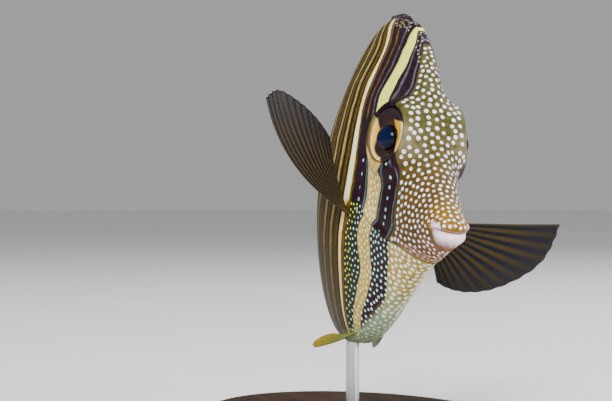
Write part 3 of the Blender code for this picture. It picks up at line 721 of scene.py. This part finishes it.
def band_number(station, level):
    """0 to 4 at the five borders with even steps between, and the number of the line behind them."""
    edges = [border(level) for border in BORDERS]
    number = (station - edges[0]) / (edges[1] - edges[0])
    for i in (1, 2, 3):
        inside = i + (station - edges[i]) / (edges[i + 1] - edges[i])
        number = np.where(station > edges[i], inside, number)
    rear = (station - edges[4]) / STRIPE_PERIOD
    return np.clip(number, -3, 5), rear


def ground_colors(station, level, height, across, ahead):
    """Broad colours of the face, lips, throat, breast and belly, and a painted sheen on the brow."""
    face = blend_colors(OLIVE, CHEEK, smooth((0.17 - height) / 0.12))
    golden = smooth((0.060 - station) / 0.045) * smooth((height + 0.006) / 0.012)
    face = blend_colors(face, GOLDEN, 0.9 * golden)
    chin = smooth((0.085 - station) / 0.05) * smooth((-0.006 - height) / 0.02)
    face = blend_colors(face, CHIN, 0.8 * chin)
    throat = smooth((-0.45 - level) / 0.3) * smooth((station - 0.03) / 0.04)
    face = blend_colors(face, THROAT, 0.55 * throat)
    folds = smooth((0.036 - gill_opening(level) + station) / 0.014) * smooth((-0.42 - level) / 0.2)
    face = blend_colors(face, FOLD, 0.75 * folds)
    # painted sheen: the brow in front of the eye is paled, as a highlight
    pale = np.exp(-(((station - 0.136) / 0.026) ** 2) - ((height - 0.142) / 0.024) ** 2)
    face = blend_colors(face, BROW_SHEEN, 0.4 * pale * smooth((np.abs(across) - 0.015) / 0.03))
    low = blend_colors(BREAST, BELLY, smooth((-0.82 - level) / 0.14) * smooth((station - 0.16) / 0.1))
    color = blend_colors(low, face, ahead)
    off = height - mouth_line(across)
    corner = smooth((np.abs(across) - 0.020) / 0.006)
    lip = smooth((0.031 - station) / 0.012) * smooth((0.0035 + 0.007 * corner - off) / 0.004)
    lip = lip * (1 - smooth((-0.011 - off) / 0.016))
    return blend_colors(color, LIP, lip)


def dot_plan(station, level, height, across, band, ahead, room):
    """Where dots may lie, their spacing, radius and colour, and how strong they are."""
    clear = np.abs(station - gill_opening(level)) > 0.0045
    cover = (ahead > 0.5) & (room > 1.2) & clear
    under = (ahead < 0.5) & (level < -0.05) & clear
    over_mouth = (height > mouth_line(across) + 0.0042) | (station > 0.036) | (height < -0.030)
    on_face = cover & (band < -0.08) & over_mouth & (station > 0.0006)
    snout = smooth((0.15 - station) / 0.10)
    brow = smooth((height - 0.16) / 0.12)
    jaw = smooth((-0.02 - height) / 0.03)
    side_face = smooth((np.abs(across) - 0.030) / 0.020) * smooth((0.13 - height) / 0.06)
    face_gap = 0.00138 - 0.00032 * np.maximum(snout, 0.8 * brow) - 0.00010 * jaw - 0.00008 * side_face
    face_dot = blend_colors(FACE_DOT, JAW_DOT, jaw * smooth((-0.2 - level) / 0.3))
    rear_dot = blend_colors(AQUA_DOT, LIME_DOT, smooth((band - 2.35) / 0.25))
    belly_dot = blend_colors(AQUA_DOT, BREAST_DOT, smooth((-0.84 - level) / 0.08))
    zones = ((on_face, face_gap, 0.350 * face_gap, face_dot, 1.0),
             (under & (band < -0.02), 0.00120, 0.00050, BREAST_DOT, 1.0),
             (under & (band >= -0.02) & (band < 0.98), 0.00116, 0.00036, belly_dot, 1.0),
             (under & (band > 1.05) & (band < 1.97), 0.00116, 0.00035, CREAM_DOT, 0.85),
             (under & (band > 2.04) & (band < 2.92), 0.00108, 0.00030, rear_dot, 1.0),
             (cover & (band > 1.12) & (band < 1.9) & (level < 0.42), 0.00132, 0.00042, CREAM_DOT, 0.9),
             ((band > 2.10) & (band < 2.95) & (level > 0.95), 0.00110, 0.00024, CREAM_DOT, 0.6),
             ((band > 0.1) & (band < 0.9) & (level > 0.93), 0.00110, 0.00024, CREAM_DOT, 0.4))
    spacing, radius, share = (np.full(station.shape, value) for value in (0.0012, 0.0003, 0.0))
    color = np.zeros((*station.shape, 3))
    for here, gap, size, tint, strength in zones:
        spacing, radius = np.where(here, gap, spacing), np.where(here, size, radius)
        share = np.where(here, strength, share)
        color = np.where(here[..., None], tint, color)
    return share > 0, spacing, radius, color, share


def column_dots():
    """Single columns of small dots down the middle of a band, on both gill covers, with their colours."""
    spots, colors = [], []
    for band, top, low, count, color in COLUMNS:
        levels = np.linspace(top, low, count)
        middle = (BORDERS[band](levels) + BORDERS[band + 1](levels)) / 2
        spots += [surface(middle, levels, side) for side in (1, -1)]
        colors += [np.tile(color, (2 * count, 1))]
    return np.concatenate(spots), np.concatenate(colors)


def dot_marks(grid, plan, places):
    """The place, size, colour and strength of the dot nearest to each of some places."""
    points = grid.reshape(-1, 3)
    areas = np.linalg.norm(np.cross(np.gradient(grid, axis=0), np.gradient(grid, axis=1)), axis=-1).ravel()
    allowed, spacing, radius, color, share = (values.reshape(-1, *values.shape[2:]) for values in plan)
    chosen = scatter(points, allowed, spacing, PLACE_SEED)
    spots = even_out(points[chosen], points[allowed][::2], areas[allowed][::2], 6)
    extra, extra_color = column_dots()
    size = np.concatenate([radius[chosen], np.full(len(extra), COLUMN_DOT)])
    size = size * np.random.default_rng(SIZE_SEED).uniform(0.90, 1.10, len(size))
    strength = np.concatenate([share[chosen], np.full(len(extra), COLUMN_STRENGTH)])
    spots, tint = np.concatenate([spots, extra]), np.concatenate([color[chosen], extra_color])
    number, _ = nearest(spots, places)
    return {"dot_at": spots[number], "dot_size": size[number], "dot_color": tint[number],
            "dot_share": strength[number]}


def line_marks(station, level, height, across, band, ahead, eye_share):
    """Thin lines at the gill slit, the folds, the mouth and the eye's rim, a dark hood, and their colours.
    The lines in the gill slit and in the folds' grooves are painted shade.
    """
    before = gill_opening(level) - station
    # painted shade along the gill slit
    slit = smooth(1 - np.abs(before) / 0.0022) * smooth((COVER_TOP - level) / 0.2)
    # painted shade in the grooves of the folds
    folds = wrinkles(before, level) * ahead
    mouth = np.exp(-(((height - mouth_line(across)) / 0.0016) ** 2)) * smooth((0.029 - station) / 0.005)
    behind = smooth((station - EYE_STATION) / 0.02)
    wide = behind * smooth((height - EYE_HEIGHT + 0.034) / 0.024)
    orbit = np.exp(-(((eye_share - 1.01 - 0.06 * wide) / (0.04 + 0.08 * wide)) ** 2))
    orbit = orbit * (0.35 + 0.65 * behind)
    above = smooth((height - EYE_HEIGHT - 0.022) / 0.012) * smooth((band + 0.06) / 0.06)
    hood = above * smooth((1.62 - eye_share) / 0.30)
    color = np.tile(SLIT_SHADE, (*station.shape, 1))
    color = blend_colors(color, MOUTH_TONE, mouth > 0.05)
    rim = np.maximum(orbit, hood)
    color = blend_colors(color, RIM_TONE, rim > 0.02)
    return np.clip(0.75 * slit + folds + 0.8 * mouth + 0.92 * rim, 0, 1), color


def make_skin():
    """One skin from the lips to the tail's root, with the markings kept at its points."""
    station, cover, ahead = skin_rows()
    level, sides = (np.broadcast_to(values, station.shape) for values in ring_points())
    straight = body_point(np.minimum(station, 1.0), level, sides, cover=cover)
    _, across, height = straight
    wedge = smooth((station - 1.0) / (WEDGE_END - 1.0))
    grid = place(straight[0] + np.maximum(station - 1.0, 0), across * (1 - 0.85 * wedge), height)
    grid, nostril_share = dent_nostrils(grid)
    grid, eye_share = seat_eyes(grid, sides)
    band, rear = band_number(station, level)
    ground = ground_colors(station, level, height, across, ahead)
    line, line_color = line_marks(station, level, height, across, band, ahead, eye_share)
    room = np.minimum(eye_share, nostril_share / 1.4)
    plan = dot_plan(station, level, height, across, band, ahead, room)
    marks = {
        "band": band.ravel(), "rear": rear.ravel(), "ground": ground.reshape(-1, 3),
        "on_cover": smooth((0.47 - level) / 0.06).ravel(),
        "below": (smooth((-0.02 - level) / 0.06) * (1 - ahead)).ravel(),
        "banded": (1 - smooth((-0.90 - level) / 0.09) * (1 - smooth((station - 0.37) / 0.08))).ravel(),
        "low": (smooth((0.05 - level) / 0.5) * (1 - ahead)).ravel(),
        "line": line.ravel(), "line_color": line_color.reshape(-1, 3),
    }
    points, faces = close_ends(grid)
    marks = {name: np.concatenate([values, values[:1], values[-1:]]) for name, values in marks.items()}
    mesh = mesh_of("skin", points, faces, marks)
    keep_marks(mesh, dot_marks(grid, plan, points[faces].mean(1)), "FACE")
    make_object("skin", mesh, skin_look(), "skin", "head", "torso", "peduncle")


# Fins
def ray_columns(rays):
    """Fine columns across a fin: their places from 0 to 1, and each one's place between two rays."""
    count = (rays - 1) * RAY_STEPS + 1
    return np.linspace(0, 1, count), np.arange(count) / RAY_STEPS


def ray_profile(turns, along):
    """How much of a ray stands at each point; a ray forks in two towards its tip."""
    single = smooth((np.cos(2 * pi * turns) + 0.2) / 0.7)
    fork = smooth((-np.cos(4 * pi * turns) + 0.1) / 0.7) * single
    forked = smooth((along - 0.50) / 0.25)
    return single * (1 - 0.6 * forked) + 0.6 * fork * forked


def sheet_faces(rows, columns):
    """Quads of a closed sheet of two like grids."""
    size = rows * columns
    i = (np.arange(rows - 1)[:, None] * columns + np.arange(columns - 1)).ravel()
    top = np.stack([i, i + 1, i + columns + 1, i + columns], 1)
    low = top[:, ::-1] + size
    rim = [j for j in range(columns)]
    rim += [k * columns + columns - 1 for k in range(1, rows)]
    rim += [(rows - 1) * columns + j for j in range(columns - 2, -1, -1)]
    rim += [k * columns for k in range(rows - 2, 0, -1)]
    rim = np.array(rim)
    after = np.roll(rim, -1)
    side = np.stack([after, rim, rim + size, after + size], 1)
    return np.concatenate([top, low, side])


def notches(turns):
    """Each column's share of its full length: all of it at a ray, a little less between two."""
    on_ray = np.cos(2 * pi * turns) * 0.5 + 0.5
    return 1 - RAY_NOTCH * (1 - on_ray)


def web_thickness(along, profile):
    web = WEB_THICK + (WEB_ROOT - WEB_THICK) * (1 - smooth(along / 0.10)) + (WEB_TIP - WEB_THICK) * along
    return web + RAY_HEIGHT * profile * (1 - 0.65 * along)


def both_faces(values):
    return np.concatenate([values.ravel(), values.ravel()])


def median_fin(name, station, height, lean, thick, look, marks):
    """A fin in the middle plane, from grids of its stations and heights."""
    half = thick / 2 / LENGTH
    points = np.concatenate([place(station, lean + half, height).reshape(-1, 3),
                             place(station, lean - half, height).reshape(-1, 3)])
    marks = {key: both_faces(values + 0 * station) for key, values in marks.items()}
    mesh = mesh_of(name, points, sheet_faces(*station.shape), marks)
    make_object(name, mesh, look, "fin", name.replace("_membrane", ""))


def folded_fin(name, rays, count, edge, up, lean, look):
    """A fin along the crest or the keel, its rays swept back and its root sunk in the back or belly."""
    table = np.array(rays, float)
    across, turns = ray_columns(count)
    root = table[0, 0] + (table[-1, 0] - table[0, 0]) * across
    length = curve_through(table[:, :2])(root) * notches(turns)
    sweep = np.radians(curve_through(table[:, ::2])(root))
    along = np.linspace(0, 1, FIN_ROWS)[:, None]
    bow = RAY_BOW * along * (1 - along)
    station = root + length * (along * np.sin(sweep) - bow * np.cos(sweep))
    rise = length * (along * np.cos(sweep) + bow * np.sin(sweep))
    rise = rise - ROOT_SINK * (1 - smooth(along / 0.08))
    profile = ray_profile(turns, along * 0.5)
    thick = web_thickness(along, profile)
    spread = np.maximum(rise, 0)
    marks = {
        "ray": profile, "along": along,
        "rear": (root + 0.55 * spread - REAR_BORDER[-1][1]) / STRIPE_PERIOD,
        "front": 1 - smooth((root - 0.42) / 0.06),
    }
    median_fin(name, station, edge(root) + up * rise, lean * spread * (1 - across) ** 2, thick, look, marks)


def make_tail_fin():
    across, turns = ray_columns(CAUDAL_COUNT)
    spread = 1 - 2 * across
    low, top = keel(1.0) * 0.9, crest(1.0) * 0.9
    root = low + (top - low) * (1 - across)
    ray = (CAUDAL_MIDDLE + (CAUDAL_OUTER - CAUDAL_MIDDLE) * spread**2) * notches(turns)
    angle = CAUDAL_FAN * spread
    along = np.linspace(0, 1, FIN_ROWS)[:, None]
    station = 1.0 + GAP / LENGTH + ray * along * np.cos(angle)
    height = root + ray * np.sin(angle) * along**0.9
    profile = ray_profile(turns, along)
    marks = {"ray": profile, "along": along}
    median_fin("caudal_fin_membrane", station, height, 0.0, web_thickness(along, profile), tail_look(), marks)


def paired_fin(name, side, root, count, reach, shape, headings, look):
    """A fin on the side of the body. headings are those of the leading ray, then of the trailing one."""
    lead, trail = np.array(headings)
    across, turns = ray_columns(count)
    (s0, l0), (s1, l1) = root
    station, level = s0 + (s1 - s0) * across, l0 + (l1 - l0) * across
    foot = surface(station, level, side)
    ahead = surface(station + 0.004, level, side) - foot
    above = surface(station, level + 0.004, side) - foot
    out = unit(side * np.cross(ahead, above))
    foot = foot - FOOT_SINK * out
    start, finish = (unit(lead[i] + (trail[i] - lead[i]) * across[:, None]) for i in (0, 1))
    ray = reach * LENGTH * curve_through(shape)(across) * notches(turns)
    along = np.linspace(0, 1, FIN_ROWS)[:, None]
    t = along[..., None]
    middle = foot + ray[:, None] * (start * (t - t * t / 2) + finish * t * t / 2)
    face = np.cross(np.gradient(middle, axis=0), np.gradient(middle, axis=1))
    face[0] -= out * np.sum(face[0] * out, axis=1)[:, None]
    half = unit(face) * web_thickness(along, ray_profile(turns, along))[..., None] / 2
    points = np.concatenate([(middle + half).reshape(-1, 3), (middle - half).reshape(-1, 3)])
    marks = {"ray": ray_profile(turns, 0 * along), "along": along, "root": 1 - smooth((along - 0.03) / 0.14)}
    marks = {key: both_faces(values + 0 * middle[..., 0]) for key, values in marks.items()}
    mesh = mesh_of(name, points, sheet_faces(len(along), len(across)), marks)
    make_object(name, mesh, look, "fin", name.replace("_membrane", ""))


def make_fins():
    median = median_look()
    folded_fin("dorsal_fin_membrane", DORSAL_RAYS, DORSAL_COUNT, crest, 1, DORSAL_LEAN, median)
    folded_fin("anal_fin_membrane", ANAL_RAYS, ANAL_COUNT, keel, -1, ANAL_LEAN, median)
    make_tail_fin()
    pectoral_look = fin_look("pectoral_fin", tone(5, 8, 26), tone(68, 50, 10), tone(22, 21, 28), 1.0, 0.90)
    pectoral = PECTORAL_ROOT, PECTORAL_COUNT, PECTORAL_RAY, PECTORAL_SHAPE
    paired_fin("pectoral_fin_right_membrane", -1, *pectoral, RAISED, pectoral_look)
    paired_fin("pectoral_fin_left_membrane", 1, *pectoral, SPREAD, pectoral_look)
    pelvic_look = fin_look("pelvic_fin", tone(104, 98, 8), tone(136, 146, 70), tone(160, 136, 6), 1.0, 0.95)
    pelvic = PELVIC_ROOT, PELVIC_COUNT, PELVIC_RAY, PELVIC_SHAPE
    for side, name in ((1, "pelvic_fin_left_membrane"), (-1, "pelvic_fin_right_membrane")):
        paired_fin(name, side, *pelvic, np.array(TRAILED) * (side, 1, 1), pelvic_look)


# Eyes
def globe_mesh(name, radii, where):
    """A ball stretched to three radii, its poles on its own X axis."""
    stretch = Matrix.Diagonal((*radii, 1)) @ Matrix.Rotation(pi / 2, 4, "Y")
    return shaped_mesh(name, bmesh.ops.create_uvsphere, u_segments=72, v_segments=48, radius=1.0,
                       matrix=where @ stretch)


def iris_mesh(name, side):
    """A ring from the eye's edge to the pupil, with a rolled outer rim and fine radial folds."""
    radius = EYE_RADIUS * LENGTH
    inner = PUPIL_SHARE - 0.05
    share, turn = np.meshgrid(np.linspace(1.0, inner, 60), np.linspace(0, 2 * pi, 181)[:-1], indexing="ij")
    drawn = (1 - share) / (1 - inner)
    forward, upward = share * np.cos(turn) + PUPIL_FORWARD * drawn, share * np.sin(turn) - PUPIL_DROP * drawn
    height = IRIS_RIM + (IRIS_LOW - IRIS_RIM) * smooth((0.97 - share) / 0.5)
    height = height - 0.0004 * smooth((share - 0.94) / 0.06) - 0.0003 * smooth((inner + 0.05 - share) / 0.05)
    height = height + 0.00002 * np.sin(turn * 60 + 3 * np.sin(turn * 7)) * smooth((0.95 - share) / 0.2)
    edge = radius * IRIS_REACH
    own = np.stack([side * height, -edge * forward, edge * upward], -1)
    points = moved(own.reshape(-1, 3), eye_frame(side))
    faces = ring_faces(*share.shape)
    across, lift = share * np.cos(turn - IRIS_TURN), share * np.sin(turn)
    band = 1 - smooth((np.abs(across) - 0.39) / 0.10)
    reach = 0.62 + 0.14 * smooth(-lift / 0.6)
    ring = smooth(-across / 0.1) * smooth((0.20 - lift) / 0.25) * (1 - smooth((share - reach) / 0.09))
    marks = {"brown": np.maximum(band, ring).ravel(), "share": share.ravel(),
             "upward": (share * np.sin(turn + HOOD_TURN)).ravel()}
    return mesh_of(name, points, faces if side > 0 else turn_over(faces), marks, closed=False)


def iris_look():
    """Gold at the pupil and cream outside it; dark brown in a band up and down and behind the pupil."""
    look, tree, shader = new_look("iris", 0.35, Specular_IOR_Level=0.2, Coat_Weight=0.5, Coat_Roughness=0.08)
    share, upward = mark(tree, "share"), mark(tree, "upward")
    fleck = noise(tree, 2600.0, 4.0)
    bright = ramp(tree, share, [(0.44, tone(120, 90, 4), 1), (0.50, tone(196, 170, 0), 1),
                                (0.70, tone(198, 174, 4), 1), (0.80, tone(200, 180, 96), 1),
                                (0.93, tone(206, 188, 150), 1), (0.98, tone(60, 44, 50), 1)]).outputs[0]
    brown = mix(tree, fleck, tone(20, 4, 10), tone(40, 14, 10))
    warm = mix(tree, span(tree, share, 0.48, 0.64), tone(70, 26, 4), brown)
    color = mix(tree, mark(tree, "brown"), bright, warm)
    color = mix(tree, span(tree, upward, 0.60, 0.68), color, tone(26, 8, 16))
    color = mix(tree, 0.6, color, mix(tree, fleck, (0.35, 0.35, 0.35), (0.8, 0.8, 0.8)), "SOFT_LIGHT")
    paint(tree, shader, color)
    raise_bumps(tree, shader, fleck, 0.00003, 0.4)
    return look


def make_eyes():
    gloss = {"Specular_IOR_Level": 0.05, "Coat_Weight": 0.15, "Coat_Roughness": 0.05}
    pupil, tree, shader = new_look("pupil", 0.25, **gloss)
    # painted highlight: the pupil is painted a lighter blue at its outermost middle, as a glint
    painted_glint = span(tree, mark(tree, "middle"), 0.30, 0.95)
    paint(tree, shader, mix(tree, painted_glint, tone(2, 5, 20), tone(4, 18, 56)))
    iris = iris_look()
    radius = EYE_RADIUS * LENGTH
    for side, name in ((1, "left"), (-1, "right")):
        where = eye_frame(side)
        make_object(f"iris_{name}", iris_mesh(f"iris_{name}", side), iris, "eye", f"eye_{name}")
        lens = (PUPIL_DEPTH, PUPIL_LONG * radius, PUPIL_SHARE * radius)
        seat = Matrix.Translation((side * PUPIL_SEAT, -PUPIL_FORWARD * radius, -PUPIL_DROP * radius))
        ball = globe_mesh(f"pupil_{name}", lens, where @ seat)
        points = moved(np.array([corner.co for corner in ball.vertices]), (where @ seat).inverted())
        keep_marks(ball, {"middle": points[:, 0] * side / PUPIL_DEPTH})
        make_object(f"pupil_{name}", ball, pupil, "eye")


# Tail spines
def make_tail_spines():
    """A lancet on each side of the tail's root, flat and curved, its point forward."""
    look, tree, shader = new_look("tail_spine", 0.3, Coat_Weight=0.3, Coat_Roughness=0.15)
    paint(tree, shader, mix(tree, noise(tree, 900.0), tone(196, 190, 176), tone(232, 228, 216)))
    raise_bumps(tree, shader, noise(tree, 1500.0), 0.00003, 0.4)
    for side, name in ((1, "left"), (-1, "right")):
        t = np.linspace(0, 1, 40)[:, None]
        angle = np.linspace(0, 2 * pi, 33)[:-1]
        station, level = SPINE_BACK + (SPINE_FRONT - SPINE_BACK) * t, SPINE_LEVEL * np.ones_like(t)
        middle = surface(station, level, side)
        above = unit(surface(station, level + 0.2, side) - middle)
        ahead = np.gradient(middle[:, 0], axis=0)[:, None]
        out = unit(side * np.cross(ahead, above))
        taper = np.sqrt(np.clip(1 - t**1.6, 0, 1)) * (0.75 + 0.25 * t)
        high = SPINE_HALF_HEIGHT * LENGTH * taper[..., None]
        thick = SPINE_HALF_THICK * LENGTH * taper[..., None] * 0.8
        lift = out * (2 * GAP + SPINE_HALF_THICK * LENGTH)
        ring = middle + lift + above * high * np.cos(angle)[:, None] + out * thick * np.sin(angle)[:, None]
        mesh = mesh_of(f"spine_{name}", *close_ends(ring))
        make_object(f"spine_{name}", mesh, look, "tail_spine", f"tail_spine_{name}")


# Stand
def wood_look():
    """Dark walnut with long grain, fine pores and a satin varnish."""
    satin = {"Specular_IOR_Level": 0.12, "Coat_Weight": 0.03, "Coat_Roughness": 0.4}
    look, tree, shader = new_look("walnut", 0.6, **satin)
    grain = noise(tree, 60.0, 6.0, (7.0, 0.45, 7.0))
    wave = {"Vector": where_at(tree, (1.0, 0.12, 1.0)), "Scale": 42.0, "Distortion": 5.0, "Detail": 3.0,
            "Detail Scale": 1.5}
    rings = add_node(tree, "TexWave", wave, bands_direction="X").outputs[1]
    shades = [(0.25, tone(50, 29, 13), 1), (0.5, tone(90, 60, 32), 1), (0.75, tone(120, 84, 46), 1)]
    streaks = mix(tree, rings, tone(40, 23, 12), tone(128, 90, 52))
    color = mix(tree, 0.55, ramp(tree, grain, shades).outputs[0], streaks, "SOFT_LIGHT")
    pores = noise(tree, 900.0, 2.0, (5.0, 0.25, 5.0))
    color = mix(tree, span(tree, pores, 0.62, 0.72), color, tone(28, 16, 10))
    paint(tree, shader, color)
    raise_bumps(tree, shader, pores, -0.00008, 0.35)
    return look


def steel_look():
    look, tree, shader = new_look("brushed_steel", 0.3, Metallic=1.0)
    brush = noise(tree, 2500.0, 3.0, (1.0, 1.0, 0.03))
    paint(tree, shader, mix(tree, brush, tone(168, 169, 171), tone(206, 207, 209)))
    rough = add_node(tree, "MapRange", {0: brush, 3: 0.22, 4: 0.42}).outputs[0]
    tree.links.new(rough, shader.inputs["Roughness"])
    raise_bumps(tree, shader, brush, 0.00002, 0.3)
    return look


def make_stand():
    """A finer oval base with the solid's outline, and a rod that reaches the belly."""
    angle = np.linspace(0, 2 * pi, 193)[:-1]
    corner = np.linspace(0, pi / 2, 9)
    profile = [(0.004, 0.0)]
    profile += [(BASE_ROUND * (1 - sin(t)), BASE_ROUND * (1 - cos(t))) for t in corner]
    profile += [(BASE_ROUND * (1 - cos(t)), BASE_THICK - BASE_ROUND * (1 - sin(t))) for t in corner]
    rows = []
    for inward, up in profile:
        x = (BASE_HALF_WIDTH - inward) * np.cos(angle)
        y = (BASE_HALF_LENGTH - inward) * np.sin(angle)
        rows.append(np.stack([x, y, up + 0 * angle], 1))
    rows.append(rows[-1] * (0.6, 0.6, 1))
    mesh = mesh_of("walnut_base", *close_ends(np.array(rows)))
    base = make_object("walnut_base", mesh, wood_look(), "stand_wood", "stand_base")
    base.data.set_sharp_from_angle(angle=radians(40))
    belly = place(ROD_STATION, 0.0, keel(ROD_STATION))
    low, high = BASE_THICK - 0.0005, belly[2] + ROD_RADIUS
    where = Matrix.Translation((belly[0], belly[1], (low + high) / 2))
    size = {"radius1": ROD_RADIUS, "radius2": ROD_RADIUS, "depth": high - low}
    rod = shaped_mesh("steel_rod", bmesh.ops.create_cone, cap_ends=True, segments=64, matrix=where, **size)
    thing = make_object("steel_rod", rod, steel_look(), "stand_steel", "stand_rod")
    thing.data.set_sharp_from_angle(angle=radians(40))


# Floor, light and camera
def make_stage():
    bpy.ops.mesh.primitive_circle_add(vertices=96, radius=FLOOR_RADIUS, fill_type="NGON")
    floor = bpy.context.object
    floor.name = "studio_floor"
    look, tree, shader = new_look("studio_floor", 0.7)
    paint(tree, shader, mix(tree, noise(tree, 6.0), tone(226, 225, 222), tone(232, 231, 228)))
    floor.data.materials.append(look)


def soft_light(name, spot, size, watts):
    lamp = bpy.data.lights.new(name, "AREA")
    lamp.shape = "DISK"
    lamp.size = size
    lamp.energy = watts
    thing = bpy.data.objects.new(name, lamp)
    bpy.context.scene.collection.objects.link(thing)
    thing.location = spot
    thing.rotation_euler = (Vector(LIT_POINT) - Vector(spot)).to_track_quat("-Z", "Y").to_euler()


def light_and_camera():
    world = bpy.data.worlds.new("studio")
    world.use_nodes = True
    glow = world.node_tree.nodes["Background"].inputs
    glow["Color"].default_value = (*tone(236, 237, 240), 1)
    glow["Strength"].default_value = WORLD_STRENGTH
    bpy.context.scene.world = world
    for light in LIGHTS:
        soft_light(*light)
    lens = bpy.data.cameras.new("camera")
    lens.lens = LENS
    lens.sensor_width = SENSOR
    lens.clip_start = 0.01
    camera = bpy.data.objects.new("camera", lens)
    bpy.context.scene.collection.objects.link(camera)
    right = Vector((cos(CAMERA_TURN), -sin(CAMERA_TURN), 0))
    ahead = Vector((sin(CAMERA_TURN), cos(CAMERA_TURN), 0))
    spot = Vector(SNOUT_TIP) - CAMERA_SIDE * right - CAMERA_BACK * ahead
    camera.location = spot + Vector((0, 0, CAMERA_UP))
    camera.rotation_euler = (pi / 2, 0, -CAMERA_TURN)
    bpy.context.scene.camera = camera


light_and_camera()
make_stage()
make_skin()
make_eyes()
make_fins()
make_tail_spines()
make_stand()
